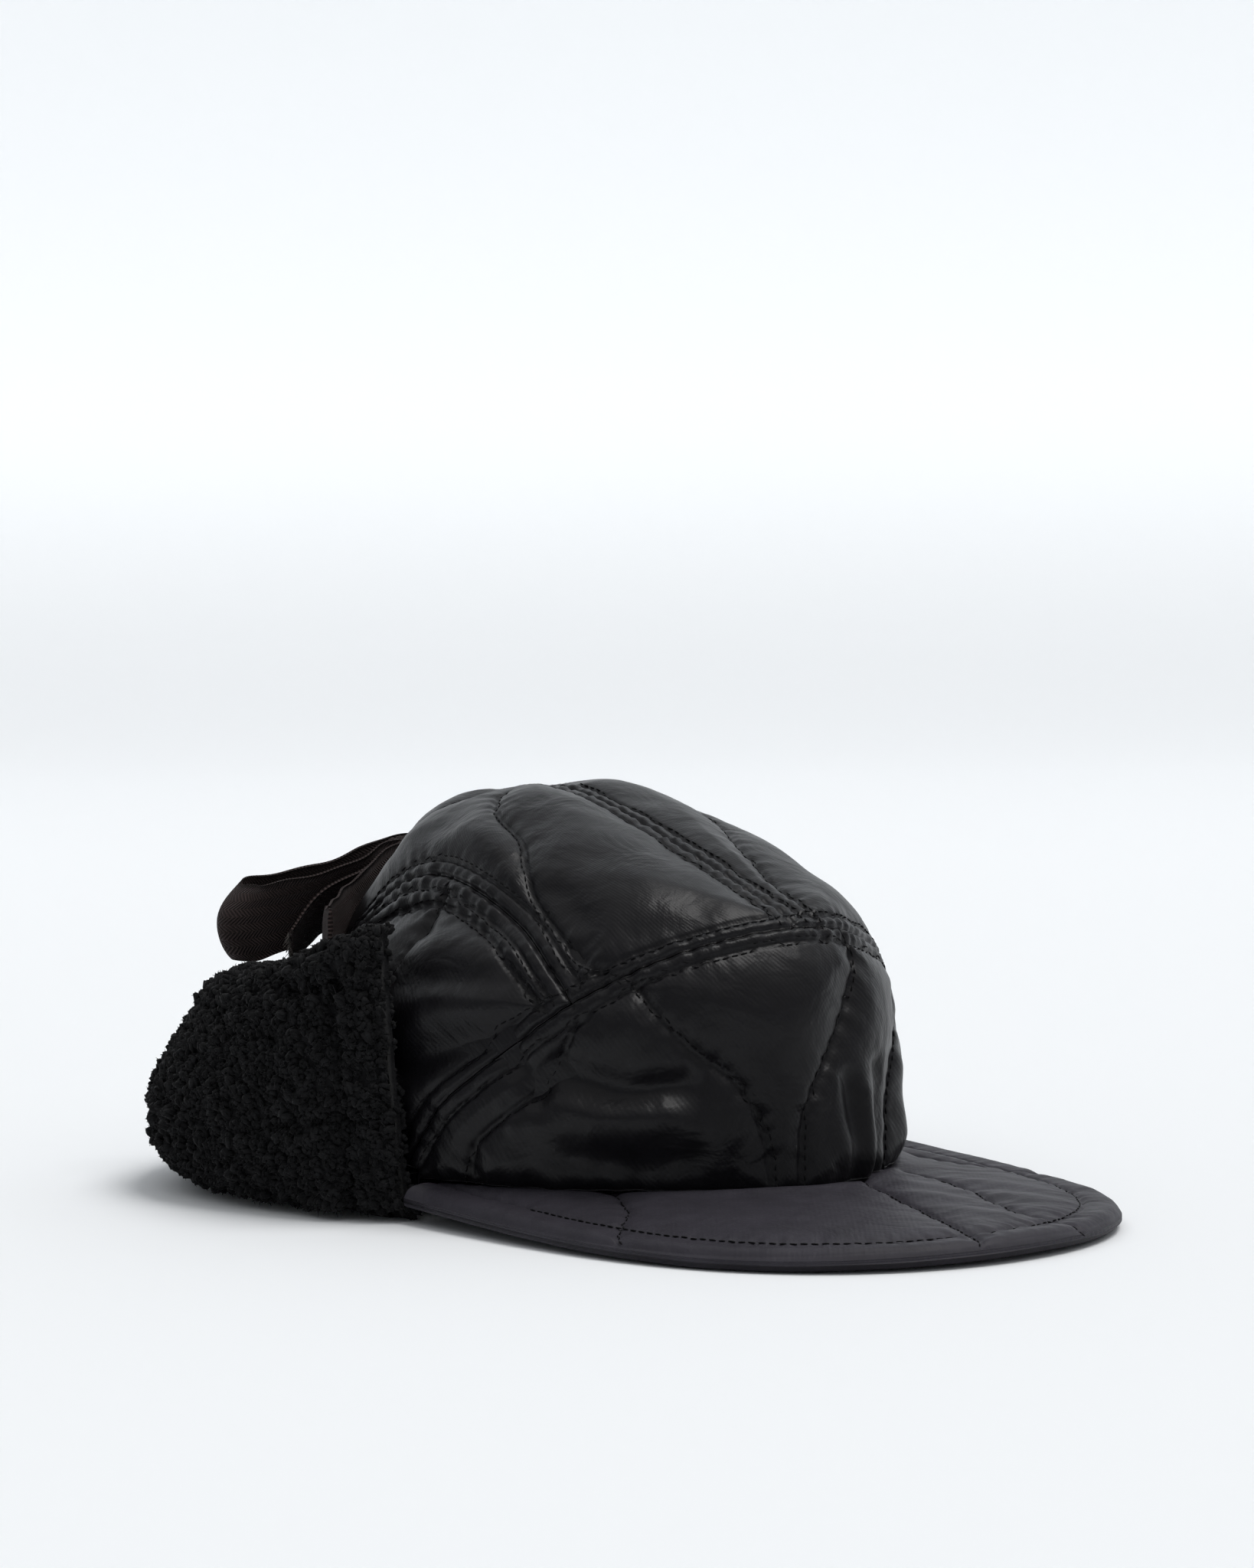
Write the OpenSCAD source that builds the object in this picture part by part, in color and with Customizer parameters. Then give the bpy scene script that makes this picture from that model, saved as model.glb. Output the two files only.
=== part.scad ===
// Quilted camp cap with a stiff covered brim and a pile-lined neck and ear flap,
// folded up and tied behind the crown with a tape bow.
// Millimetres. Front of the hat is -Y, the wearer's left is +X, the table is z = 0.

/* [Crown] */
// Half the crown's width at its base
crown_half_width = 84; // [76:1:92]
// From the widest line forwards to the crown's front at the brim
crown_front = 105; // [95:1:115]
// From the widest line back to the crown's rear at the hem
crown_back = 96; // [88:1:106]
// Height of the crown's highest point above the table
crown_height = 124.5; // [112:0.5:138]
// Thickness of a quilted outer panel with its wadding
panel_t = 4; // [3:0.5:5]
// Thickness of the inner lining cloth
lining_t = 1.5; // [1:0.5:2]

/* [Brim] */
// From the widest line forwards to the brim's tip
brim_reach = 186; // [166:1:200]
// Half the brim's width
brim_half_width = 89.6; // [88:0.2:97]
// Radius of the brim's sideways camber
brim_camber = 835; // [500:5:2000]
// Rise of the brim towards the back, per millimetre
brim_rise = 0.0457; // [0.02:0.0001:0.07]
// Height of the brim's upper face at the middle of its crown seam
brim_seat_z = 11.1; // [9:0.1:14]
// Thickness of each padded brim cover
brim_cover_t = 2; // [1.5:0.1:2.4]
// Thickness of the board inside the brim
brim_board_t = 1.4; // [1:0.1:1.6]
// Cloth turned round the board's edge
brim_turn = 3; // [2:0.5:5]

/* [Sweatband and hem] */
// Height of the sweatband
sweatband_h = 24; // [18:1:28]
// Thickness of the sweatband
sweatband_t = 1.2; // [0.8:0.1:2]
// Height of the rear hem that the flap is sewn to
hem_h = 8; // [6:0.5:9]
// Thickness of the rear hem
hem_t = 3; // [2:0.5:4]
// Width of the tapes over the inside seams
seam_tape_w = 14; // [10:1:18]
// Thickness of the seam tapes
seam_tape_t = 0.8; // [0.6:0.1:1.2]

/* [Flap] */
// Height of the ear lobes from the fold
lobe_h = 86; // [70:1:96]
// Height of the neck part from the fold
neck_h = 56; // [44:1:70]
// Thickness of the flap's nylon and wadding
flap_shell_t = 4; // [3:0.5:5]
// Thickness of the flap's pile
pile_t = 10; // [7:0.5:12]
// Outward lean of the ear, corner and neck parts, in degrees
flap_lean = [2, 30, 24];
// How far the ear lobe's front edge slants back over its height
lobe_slant = 8; // [0:1:26]
// How far an outer fold stands from the hem
fold_clear = 0.8; // [0.8:0.1:2]

/* [Tie tape] */
// Width of the herringbone tape
tape_w = 24; // [18:1:26]
// Thickness of the herringbone tape
tape_t = 1.6; // [1.2:0.1:2]
// Size of the bow's knot along X, Y and Z, both halves together
knot_size = [28, 22, 28];

/* [Hidden] */

// Clearance between sewn pieces
seam_gap = 0.3;
// Y of the widest line from the head's centre, and of the crown's highest point
widest_y = 8;
top_y = 30;
// Height of the crown's base at the front, the sides and the rear
base_front_z = brim_seat_z + 0.6;
base_side_z = brim_seat_z + 0.9;
base_rear_z = hem_h + 0.5;
// Roundness of the base outline in front of and behind the widest line
front_power = 1.75;
rear_power = 2.2;

// The crown's profile at nine levels, from the base to the top, each as shares of the
// full size: half width, side height, front reach, front height, rear reach,
// rear height and how far the widest line has moved back.
LEVELS = [
    [1.00, 0.000, 1.000, 0.000, 1.000, 0.000, 0.00],
    [0.995, 0.190, 0.976, 0.195, 1.000, 0.185, 0.00],
    [0.965, 0.370, 0.953, 0.405, 0.960, 0.385, 0.00],
    [0.895, 0.525, 0.921, 0.580, 0.890, 0.560, 0.05],
    [0.760, 0.655, 0.866, 0.683, 0.785, 0.700, 0.15],
    [0.665, 0.770, 0.709, 0.753, 0.660, 0.815, 0.36],
    [0.550, 0.875, 0.496, 0.841, 0.515, 0.918, 0.73],
    [0.320, 0.965, 0.236, 0.934, 0.325, 0.983, 0.90],
    [0.000, 1.000, 0.000, 1.000, 0.000, 1.000, 1.00]];
LAST_LEVEL = len(LEVELS) - 1;
// The highest levels that panels and linings reach, just short of the middle point
TOP_S = 7.94;
LINING_TOP_S = 7.8;

// Level values between two rows, on a smooth curve
function row(k) = LEVELS[max(0, min(LAST_LEVEL, k))];
function smooth4(a, b, c, d, t) = b + 0.5 * t * (c - a + t * (2 * a - 5 * b + 4 * c - d
    + t * (3 * (b - c) + d - a)));
function level(s, col) = let (k = min(LAST_LEVEL - 1, floor(s)), t = s - k)
    smooth4(row(k - 1)[col], row(k)[col], row(k + 1)[col], row(k + 2)[col], t);
function signed_pow(v, e) = sign(v) * pow(abs(v), e);

// A point of the crown's outer face: turn from the front (right side positive) and level
function crown_point(turn, s) =
    let (front = abs(turn) < 90,
        power = front ? front_power + (2 - front_power) * min(1, s / 2) : rear_power,
        e = 2 / power,
        mid_y = widest_y + (top_y - widest_y) * level(s, 6),
        front_y = top_y - (top_y - widest_y + crown_front) * level(s, 2),
        rear_y = top_y + (widest_y + crown_back - top_y) * level(s, 4),
        side_z = base_side_z + (crown_height - base_side_z) * level(s, 1),
        end_z = front ? base_front_z + (crown_height - base_front_z) * level(s, 3)
            : base_rear_z + (crown_height - base_rear_z) * level(s, 5),
        c = cos(turn), sn = sin(turn))
    [-crown_half_width * level(s, 0) * signed_pow(sn, e),
        front ? mid_y - (mid_y - front_y) * pow(abs(c), e)
            : mid_y + (rear_y - mid_y) * pow(abs(c), e),
        side_z * sn * sn + end_z * c * c];
function unit(v) = v / norm(v);
function crown_normal(turn, s) =
    let (d = 0.4, sl = max(0.05, min(s, TOP_S - 0.1)),
        along = crown_point(turn + d, sl) - crown_point(turn - d, sl),
        up = crown_point(turn, sl + 0.04) - crown_point(turn, sl - 0.04))
    unit(cross(up, along));
// A point below the outer face, kept on its own side of the hat's middle plane
function crown_inside(turn, s, depth, side) =
    let (p = crown_point(turn, s) - depth * crown_normal(turn, s))
    [side == 0 ? p[0] : side > 0 ? min(p[0], -seam_gap / 2) : max(p[0], seam_gap / 2),
        p[1], p[2]];

// Seam lines on the crown, as the level that a seam has at a turn
// The front seam falls to the base at this turn, from its top level at the middle
wrap_seam_end = 84;
wrap_seam_top = 3.75;
function wrap_seam(turn) = wrap_seam_top * pow(max(0, cos(turn * 90 / wrap_seam_end)), 0.72);
// The rear seam is an arch: its middle turn, half width, top level and meeting turn
arc_middle = 93;
arc_half = 60;
arc_top = 5.05;
arc_meet = 50;
function arc_seam(turn) = arc_top * (1 - pow((abs(turn) - arc_middle) / arc_half, 2));
arc_end = arc_middle + arc_half;
// Half a seam gap as a share of a level
seam_s = 0.010;

// Faces of a closed slab between two grids of points, each nu by nv
function grid_faces(nu, nv, base, flip) = [for (i = [0 : nu - 2], j = [0 : nv - 2])
    let (a = base + i * nv + j, b = a + nv, c = b + 1, d = a + 1)
    each (flip ? [[a, b, c], [a, c, d]] : [[a, c, b], [a, d, c]])];
function wall_faces(ring, shift) = [for (k = [0 : len(ring) - 1])
    let (a = ring[k], b = ring[(k + 1) % len(ring)])
    each [[a, b, b + shift], [a, b + shift, a + shift]]];
function grid_ring(nu, nv) = concat([for (j = [0 : nv - 2]) j],
    [for (i = [0 : nu - 2]) i * nv + nv - 1],
    [for (j = [nv - 1 : -1 : 1]) (nu - 1) * nv + j],
    [for (i = [nu - 1 : -1 : 1]) i * nv]);
module slab(outer, inner, nu, nv) {
    n = nu * nv;
    polyhedron(concat(outer, inner), concat(grid_faces(nu, nv, 0, true),
        grid_faces(nu, nv, n, false), wall_faces(grid_ring(nu, nv), n)));
}
// One crown piece: grid maps a share of its length and height to turn and level
module crown_piece(grid, near, far, side) {
    nu = len(grid);
    nv = len(grid[0]);
    outer = [for (line = grid, g = line) crown_inside(g[0], g[1], near, side)];
    inner = [for (line = grid, g = line) crown_inside(g[0], g[1], far, side)];
    slab(outer, inner, nu, nv);
}
function wrap_grid(nu, nv) = [for (i = [0 : nu - 1])
    let (turn = (wrap_seam_end - 2.5) * (2 * i / (nu - 1) - 1))
    [for (j = [0 : nv - 1]) [turn, max(0, wrap_seam(turn) - seam_s) * j / (nv - 1)]]];
function arc_low(turn) = turn < wrap_seam_end ? wrap_seam(turn) + seam_s : 0;
function rear_grid(nu, nv, side) = [for (i = [0 : nu - 1])
    let (first = arc_meet + 2, last = arc_end - 1,
        turn = first + (last - first) * i / (nu - 1),
        low = arc_low(turn), high = arc_seam(turn) - seam_s)
    [for (j = [0 : nv - 1]) [side * turn, low + (high - low) * j / (nv - 1)]]];
function top_low(turn) = turn < arc_meet ? wrap_seam(turn) + seam_s
    : turn < arc_end ? max(0, arc_seam(turn) + seam_s) : 0;
function top_grid(nu, nv, side, last) = [for (i = [0 : nu - 1])
    let (turn = 180 * i / (nu - 1), low = top_low(turn))
    [for (j = [0 : nv - 1]) [side * turn, low + (last - low) * j / (nv - 1)]]];
// Mirrored grids run the other way, so that their faces still point outwards
function reversed(list) = [for (i = [len(list) - 1 : -1 : 0]) list[i]];

lining_near = panel_t + seam_gap;
lining_far = lining_near + lining_t;

module front_wrap_panel() color("#16161a") crown_piece(wrap_grid(29, 7), 0, panel_t, 0);
module top_panel(side) color("#17171b")
    crown_piece(side > 0 ? top_grid(31, 8, 1, TOP_S) : reversed(top_grid(31, 8, -1, TOP_S)),
        0, panel_t, side);
module rear_panel(side) color("#141418")
    crown_piece(side > 0 ? rear_grid(15, 7, 1) : reversed(rear_grid(15, 7, -1)), 0, panel_t, side);
module front_lining() color("#1d1d20")
    crown_piece(wrap_grid(29, 7), lining_near, lining_far, 0);
module top_lining(side) color("#1d1d20")
    crown_piece(side > 0 ? top_grid(31, 8, 1, LINING_TOP_S)
        : reversed(top_grid(31, 8, -1, LINING_TOP_S)), lining_near, lining_far, side);
module rear_lining(side) color("#1d1d20")
    crown_piece(side > 0 ? rear_grid(15, 7, 1) : reversed(rear_grid(15, 7, -1)),
        lining_near, lining_far, side);

// Tape over the middle seam, inside, from the front seam over the top to the rear hem
tape_near = lining_far + 3 * seam_gap;
function middle_line(k, n) = let (front_part = 0.45, t = k / n)
    t < front_part ? [0, 4.3 + (7.5 - 4.3) * t / front_part]
        : [180, 7.5 - (7.5 - 1.9) * (t - front_part) / (1 - front_part)];
module centre_seam_tape() color("#26262a") {
    n = 20;
    line = [for (k = [0 : n]) let (g = middle_line(k, n))
        concat([crown_point(g[0], g[1]) - tape_near * crown_normal(g[0], g[1])],
            [crown_normal(g[0], g[1])])];
    flat = [for (p = line) [0, p[0][1], p[0][2]]];
    deep = [for (p = line) [0, p[0][1], p[0][2]] - seam_tape_t * [0, p[1][1], p[1][2]]];
    half = seam_tape_w / 2;
    drop = 0.5;
    columns = [-half, 0, half];
    slab([for (p = flat, x = columns) p + [x, 0, -drop * abs(x) / half]],
        [for (p = deep, x = columns) p + [x, 0, -drop * abs(x) / half]], n + 1, 3);
}

// The base outline, moved outwards by a distance
function base_normal(turn) = let (d = 0.5, a = crown_point(turn - d, 0),
    b = crown_point(turn + d, 0)) unit([b[1] - a[1], a[0] - b[0], 0]);
function base_point(turn, out) = let (p = crown_point(turn, 0), n = base_normal(turn))
    [p[0] - n[0] * out * side_of(turn), p[1] - n[1] * out * side_of(turn)];
function side_of(turn) = let (p = crown_point(turn, 0), n = base_normal(turn))
    p[0] * n[0] + (p[1] - widest_y) * n[1] > 0 ? -1 : 1;

// Room for the lining's lean over the sweatband's height
band_lean = 3.6;
band_out = -(lining_far + band_lean);
module sweatband() color("#101014") {
    step = 6;
    outer = [for (t = [-180 : step : 180 - step]) base_point(t, band_out)];
    inner = [for (t = [-180 : step : 180 - step]) base_point(t, band_out - sweatband_t)];
    translate([0, 0, base_side_z]) linear_extrude(sweatband_h) difference() {
        polygon(outer);
        polygon(inner);
    }
}
// Turn at which the rear hem begins
hem_start = 84;
function wrapped(turn) = turn > 180 ? turn - 360 : turn;
module rear_hem() color("#141417") {
    step = 6;
    outer = [for (t = [hem_start : step : 360 - hem_start]) base_point(wrapped(t), 0)];
    inner = [for (t = [hem_start : step : 360 - hem_start]) base_point(wrapped(t), -hem_t)];
    linear_extrude(hem_h) polygon(concat(outer, reversed(inner)));
}
// Blank size label on the sweatband's inside
label_size = [22, 0.6, 12];
module size_label() color("#d9d6cf") {
    edge = base_point(180, band_out - sweatband_t);
    translate([-label_size[0] / 2, edge[1] - label_size[1] - 0.9,
        base_side_z + sweatband_h - label_size[2] - 2]) cube(label_size);
}

// Brim: rows run from under the crown's front edge out to the rim
// Roundness of the rim's outline at its tip and at its sides
brim_front_power = 3.74;
brim_side_power = 2.02;
// How far the brim reaches in under the front panel, and where its rear corners lie
brim_tuck = 4.5;
brim_corner_y = -10.9;
function rim_point(t, back) = let (reach = brim_reach - widest_y + brim_corner_y - back)
    [-(brim_half_width - back) * signed_pow(sin(t), 2 / brim_side_power),
        brim_corner_y - reach * pow(abs(cos(t)), 2 / brim_front_power)];
// Turn of the crown's base at the brim's rear corners
brim_inner_turn = 76;
function brim_z(p) = brim_seat_z - p[0] * p[0] / (2 * brim_camber)
    + brim_rise * (p[1] - widest_y + crown_front);
function brim_row(t, share, back) = let (a = base_point(t * brim_inner_turn / 90, -brim_tuck),
    b = rim_point(t, back)) a + (b - a) * share;
module brim_layer(drop, t, back, nu, nv) {
    flat = [for (i = [0 : nu - 1], j = [0 : nv - 1])
        brim_row(-90 + 180 * i / (nu - 1), j / (nv - 1), back)];
    upper = [for (p = flat) [p[0], p[1], brim_z(p) - drop]];
    lower = [for (p = upper) p - [0, 0, t]];
    slab(lower, upper, nu, nv);
}
brim_board_drop = brim_cover_t + 0.3;
brim_under_drop = brim_board_drop + brim_board_t + 0.3;
module brim_top_cover() color("#1b1c21") brim_layer(0, brim_cover_t, 0, 33, 5);
module brim_board() color("#c9c2b4")
    brim_layer(brim_board_drop, brim_board_t, brim_turn, 25, 4);
module brim_under_cover() color("#1b1c21")
    brim_layer(brim_under_drop, brim_cover_t, 0, 33, 4);

// Flap: five stiff lengths, each turning about the straight line between its fold's ends.
// Their fold ends, as turns from the front
flap_turns = [79, 114, 158];
function fold_end(k) = base_point(flap_turns[k], fold_clear);
// Clearance over the table
fold_rise = 0.4;
// How far each length stops short, so that neighbours stay apart when the flap is let down
shell_end = 1.8;
pile_end = 7.4;
function mirrored(p) = [-p[0], p[1]];
// Each length: ends of its fold line, its heights there, its bulge and its lean
EAR = [fold_end(0), fold_end(1), lobe_h, lobe_h - 8, 3.6, flap_lean[0]];
CORNER = [fold_end(1), fold_end(2), lobe_h - 10, neck_h + 2, 8, flap_lean[1]];
NECK = [fold_end(2), mirrored(fold_end(2)), neck_h, neck_h, 6.4, flap_lean[2]];
module flap_length(f, near, far, trim, slant) {
    chord = f[1] - f[0];
    len_c = norm(chord);
    dir = chord / len_c;
    out = [-dir[1], dir[0]];
    nu = 9;
    nv = 5;
    function at(i, j, w) = let (h = (f[2] + (f[3] - f[2]) * i / (nu - 1)) * j / (nv - 1),
        first = trim + slant * h / f[2],
        a = first + (len_c - trim - first) * i / (nu - 1),
        o = f[4] * (1 - pow(2 * a / len_c - 1, 2)) + w + h * tan(f[5]))
        [f[0][0] + dir[0] * a + out[0] * o, f[0][1] + dir[1] * a + out[1] * o, fold_rise + h];
    outer = [for (i = [0 : nu - 1], j = [0 : nv - 1]) at(i, j, far)];
    inner = [for (i = [0 : nu - 1], j = [0 : nv - 1]) at(i, j, near)];
    slab(outer, inner, nu, nv);
}
pile_near = flap_shell_t + 0.3;
module flap_shell(f, slant) color("#17171b") flap_length(f, 0, flap_shell_t, shell_end, slant);
module flap_pile(f, slant) color("#0c0c0d")
    flap_length(f, pile_near, pile_near + pile_t, pile_end, slant);
module on_left() mirror([1, 0, 0]) children();

// Tie tape: from the lobe's upper edge to the knot, round one loop and down to a loose end.
// Each point ends with the tape's twist about its own line
TAPE_ROUTE = [[-87, 30, 77, 0], [-84, 41, 78.5, 0], [-77, 54, 79.5, 0], [-67, 67, 80, 0],
    [-53, 80.5, 81, 0], [-37, 90, 83, 0], [-22, 94.5, 87, 0], [-10, 97, 90, 0],
    [-3.5, 99.3, 91, 0], [-1.7, 104, 91, 0], [-3.5, 108.7, 90.5, 0], [-10, 111, 89, 0],
    [-20, 114.5, 86.5, 0], [-34, 119, 84, 0], [-48, 122.5, 82, 0], [-59, 124, 80.5, 0],
    [-65.5, 122.5, 79.5, 0], [-68, 118.5, 79.5, 0], [-65.5, 114.5, 80, 4], [-58, 112, 81, 8],
    [-46, 110.5, 82.5, 10], [-33, 109.3, 84.5, 8], [-20, 107.5, 87, 4], [-11.5, 105.8, 89, 0],
    [-7.5, 103.8, 89.3, 0], [-11.5, 101.8, 88.3, 4], [-20, 100.3, 85.5, 10],
    [-29, 99, 82, 18], [-38, 98.3, 78.5, 28], [-47, 98, 75, 42], [-56, 98, 72, 54]];
// A flat tape swept along its route, its width upright before the twist
function place(p) = [p[0], p[1], p[2]];
module tape_tube(route) {
    n = len(route);
    rings = [for (k = [0 : n - 1])
        let (t = unit(place(route[min(n - 1, k + 1)]) - place(route[max(0, k - 1)])),
            across = unit(cross(t, [0, 0, 1])), wide = unit(cross(across, t)), turn = route[k][3],
            w = (wide * cos(turn) + across * sin(turn)) * tape_w / 2,
            h = (across * cos(turn) - wide * sin(turn)) * tape_t / 2)
        [for (c = [[1, 0.6], [0.5, 1], [-0.5, 1], [-1, 0.6],
            [-1, -0.6], [-0.5, -1], [0.5, -1], [1, -0.6]]) place(route[k]) + w * c[0] + h * c[1]]];
    sides = 8;
    last = (n - 1) * sides;
    polyhedron([for (r = rings, p = r) p], concat(
        [[for (i = [0 : sides - 1]) i]],
        [for (k = [0 : n - 2], i = [0 : sides - 1]) let (a = k * sides + i,
            b = k * sides + (i + 1) % sides) each [[a, a + sides, b], [b, a + sides, b + sides]]],
        [[for (i = [sides - 1 : -1 : 0]) last + i]]));
}
module tie_tape() color("#1a1414") tape_tube(TAPE_ROUTE);
knot_centre = [0, 104.5, 90];
module bow_knot() color("#1f1818") intersection() {
    translate(knot_centre - [knot_size[0] / 2, 0, 0]) rotate([0, 90, 0])
        cylinder(h = knot_size[0] / 2 - seam_gap / 2, d = knot_size[2], $fn = 48);
    translate(knot_centre - knot_size / 2) cube(knot_size);
}

// The origin is under the middle of the hat's length, tape and knot left out
hat_rear_y = fold_end(2)[1] + NECK[4] + pile_near + pile_t + neck_h * tan(flap_lean[2]);
hat_front_y = widest_y - brim_reach;
module placed() translate([0, -(hat_front_y + hat_rear_y) / 2, 0]) children();
placed() front_wrap_panel();
placed() top_panel(1);  // top_panel_right
placed() top_panel(-1);  // top_panel_left
placed() rear_panel(1);  // rear_panel_right
placed() rear_panel(-1);  // rear_panel_left
placed() front_lining();
placed() top_lining(1);  // top_lining_right
placed() top_lining(-1);  // top_lining_left
placed() rear_lining(1);  // rear_lining_right
placed() rear_lining(-1);  // rear_lining_left
placed() centre_seam_tape();
placed() sweatband();
placed() rear_hem();
placed() size_label();
placed() brim_top_cover();
placed() brim_board();
placed() brim_under_cover();
placed() flap_shell(EAR, lobe_slant);  // ear_shell_right
placed() flap_pile(EAR, lobe_slant);  // ear_pile_right
placed() flap_shell(CORNER, 0);  // corner_shell_right
placed() flap_pile(CORNER, 0);  // corner_pile_right
placed() flap_shell(NECK, 0);  // neck_shell
placed() flap_pile(NECK, 0);  // neck_pile
placed() on_left() flap_shell(CORNER, 0);  // corner_shell_left
placed() on_left() flap_pile(CORNER, 0);  // corner_pile_left
placed() on_left() flap_shell(EAR, lobe_slant);  // ear_shell_left
placed() on_left() flap_pile(EAR, lobe_slant);  // ear_pile_left
placed() tie_tape();  // tie_tape_right
placed() on_left() tie_tape();  // tie_tape_left
placed() bow_knot();  // bow_knot_right
placed() on_left() bow_knot();  // bow_knot_left
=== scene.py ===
"""Quilted cap with a folding pile flap, tied up behind with a tape bow.

Every length is in millimetres until a mesh is made. The front of the hat is -Y."""

import math

import bpy
import numpy as np
from bpy.props import FloatProperty, FloatVectorProperty, IntProperty, PointerProperty
from mathutils import Matrix, Vector
from mathutils.bvhtree import BVHTree


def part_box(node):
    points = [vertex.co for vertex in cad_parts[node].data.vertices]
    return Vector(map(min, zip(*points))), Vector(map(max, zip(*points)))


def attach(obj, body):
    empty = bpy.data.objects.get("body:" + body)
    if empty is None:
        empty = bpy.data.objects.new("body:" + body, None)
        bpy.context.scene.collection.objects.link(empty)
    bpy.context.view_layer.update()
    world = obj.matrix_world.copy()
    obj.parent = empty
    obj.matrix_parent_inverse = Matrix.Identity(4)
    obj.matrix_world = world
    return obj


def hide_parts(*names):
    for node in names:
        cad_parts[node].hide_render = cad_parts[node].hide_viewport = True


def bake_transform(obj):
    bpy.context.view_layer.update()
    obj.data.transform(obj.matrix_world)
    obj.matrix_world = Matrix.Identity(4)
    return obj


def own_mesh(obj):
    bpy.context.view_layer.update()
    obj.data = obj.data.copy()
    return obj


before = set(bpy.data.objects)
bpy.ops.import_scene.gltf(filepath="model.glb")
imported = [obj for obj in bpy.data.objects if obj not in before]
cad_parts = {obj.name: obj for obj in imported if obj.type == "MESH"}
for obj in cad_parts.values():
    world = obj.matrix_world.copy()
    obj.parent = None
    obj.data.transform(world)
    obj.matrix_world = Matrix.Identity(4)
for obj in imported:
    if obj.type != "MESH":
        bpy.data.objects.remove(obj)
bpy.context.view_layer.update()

bl_info = {
    "name": "Quilted Flap Cap",
    "version": (1, 0, 0),
    "blender": (4, 5, 0),
    "location": "3D View > Sidebar > Cap",
    "description": "Builds a quilted cap with a pile-lined flap around its packed frame",
    "category": "Add Mesh",
}

MM = 0.001
CROWN = "crown"
SIDES = (("right", 1), ("left", -1))


def linear(hex_colour):
    """An sRGB hex colour as linear RGB."""
    parts = [int(hex_colour[i:i + 2], 16) / 255 for i in (1, 3, 5)]
    return [c / 12.92 if c <= 0.04045 else ((c + 0.055) / 1.055) ** 2.4 for c in parts]


def length_prop(label, text, value):
    """A size in millimetres."""
    return FloatProperty(name=label, description=text + ", in millimetres", default=value)


def colour_prop(label, text, hex_colour):
    """A colour picker whose default is an sRGB hex value."""
    return FloatVectorProperty(name=label, description=text, subtype="COLOR",
                               default=linear(hex_colour), min=0, max=1)


class CapCrownSizes(bpy.types.PropertyGroup):
    """Sizes of the crown and its quilting."""

    half_width: length_prop("Half width", "Half the crown's width at its base", 84)
    front: length_prop("Front", "From the widest line to the front", 105)
    back: length_prop("Back", "From the widest line to the rear", 96)
    height: length_prop("Height", "Top of the crown above the table", 124.5)
    wall: length_prop("Wall", "Thickness of a quilted panel", 4)
    puff: length_prop("Puff", "How far the wadding swells between stitch lines", 3.6)
    puff_reach: length_prop("Puff reach", "Distance from a stitch line to a full swell", 11)
    band: length_prop("Seam band", "Half the width of a topstitched seam", 5)
    fine: length_prop("Grid", "Spacing of the cloth's grid", 1.3)


class CapBrimSizes(bpy.types.PropertyGroup):
    """Sizes of the brim."""

    reach: length_prop("Reach", "From the widest line to the brim's tip", 186)
    half_width: length_prop("Half width", "Half the brim's width", 89.6)
    camber: length_prop("Camber", "Radius of the sideways curve", 835)
    rise: FloatProperty(name="Rise", description="Rise towards the back", default=0.0457)
    seat: length_prop("Seat", "Upper face at the middle of the crown seam", 11.1)
    thick: length_prop("Thickness", "Whole thickness at the rim", 6)
    rim: length_prop("Rim", "From the rim to its stitch line", 11)


class CapFlapSizes(bpy.types.PropertyGroup):
    """Sizes of the folded flap and its pile."""

    lobe: length_prop("Lobe height", "Height of the ear lobes from the fold", 86)
    neck: length_prop("Neck height", "Height of the neck part from the fold", 56)
    shell: length_prop("Shell", "Thickness of the nylon and wadding", 3.6)
    pile: length_prop("Pile", "Depth of the pile's backing and curls", 10.5)
    belly: length_prop("Belly", "How far the flap stands out behind", 30)
    tuft_gap: length_prop("Tuft spacing", "Distance between curls", 2.45)
    seed: IntProperty(name="Seed", description="Seed for the curls", default=7)


class CapTapeSizes(bpy.types.PropertyGroup):
    """Sizes of the herringbone tie tape."""

    width: length_prop("Width", "Width of the tape", 24)
    thick: length_prop("Thickness", "Thickness of the tape", 1.6)


class CapColours(bpy.types.PropertyGroup):
    """Colours of the cap's materials."""

    nylon: colour_prop("Nylon", "Satin nylon of the crown and brim", "#0e0d10")
    pile: colour_prop("Pile", "Curled pile", "#161617")
    tape: colour_prop("Tape", "Herringbone cotton tape", "#2f2625")
    lining: colour_prop("Lining", "Woven lining", "#1a1a1c")
    thread: colour_prop("Thread", "Sewing thread", "#08080a")
    label: colour_prop("Label", "Blank woven label", "#c9c5ba")
    floor: colour_prop("Floor", "Studio floor", "#f1f3f5")


# ---------------------------------------------------------------- the crown's shape

WIDEST_Y, TOP_Y = 8.0, 30.0
BASE_REAR_Z = 8.5
# The crown's profile at nine levels: shares of half width, side height, front reach,
# front height, rear reach, rear height and of the widest line's move to the back.
LEVELS = np.array([
    [1.00, 0.000, 1.000, 0.000, 1.000, 0.000, 0.00],
    [0.995, 0.190, 0.976, 0.195, 1.000, 0.185, 0.00],
    [0.965, 0.370, 0.953, 0.405, 0.960, 0.385, 0.00],
    [0.895, 0.525, 0.921, 0.580, 0.890, 0.560, 0.05],
    [0.760, 0.655, 0.866, 0.683, 0.785, 0.700, 0.15],
    [0.665, 0.770, 0.709, 0.753, 0.660, 0.815, 0.36],
    [0.550, 0.875, 0.496, 0.841, 0.515, 0.918, 0.73],
    [0.320, 0.965, 0.236, 0.934, 0.325, 0.983, 0.90],
    [0.000, 1.000, 0.000, 1.000, 0.000, 1.000, 1.00]])
TOP_S = 7.97
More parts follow.
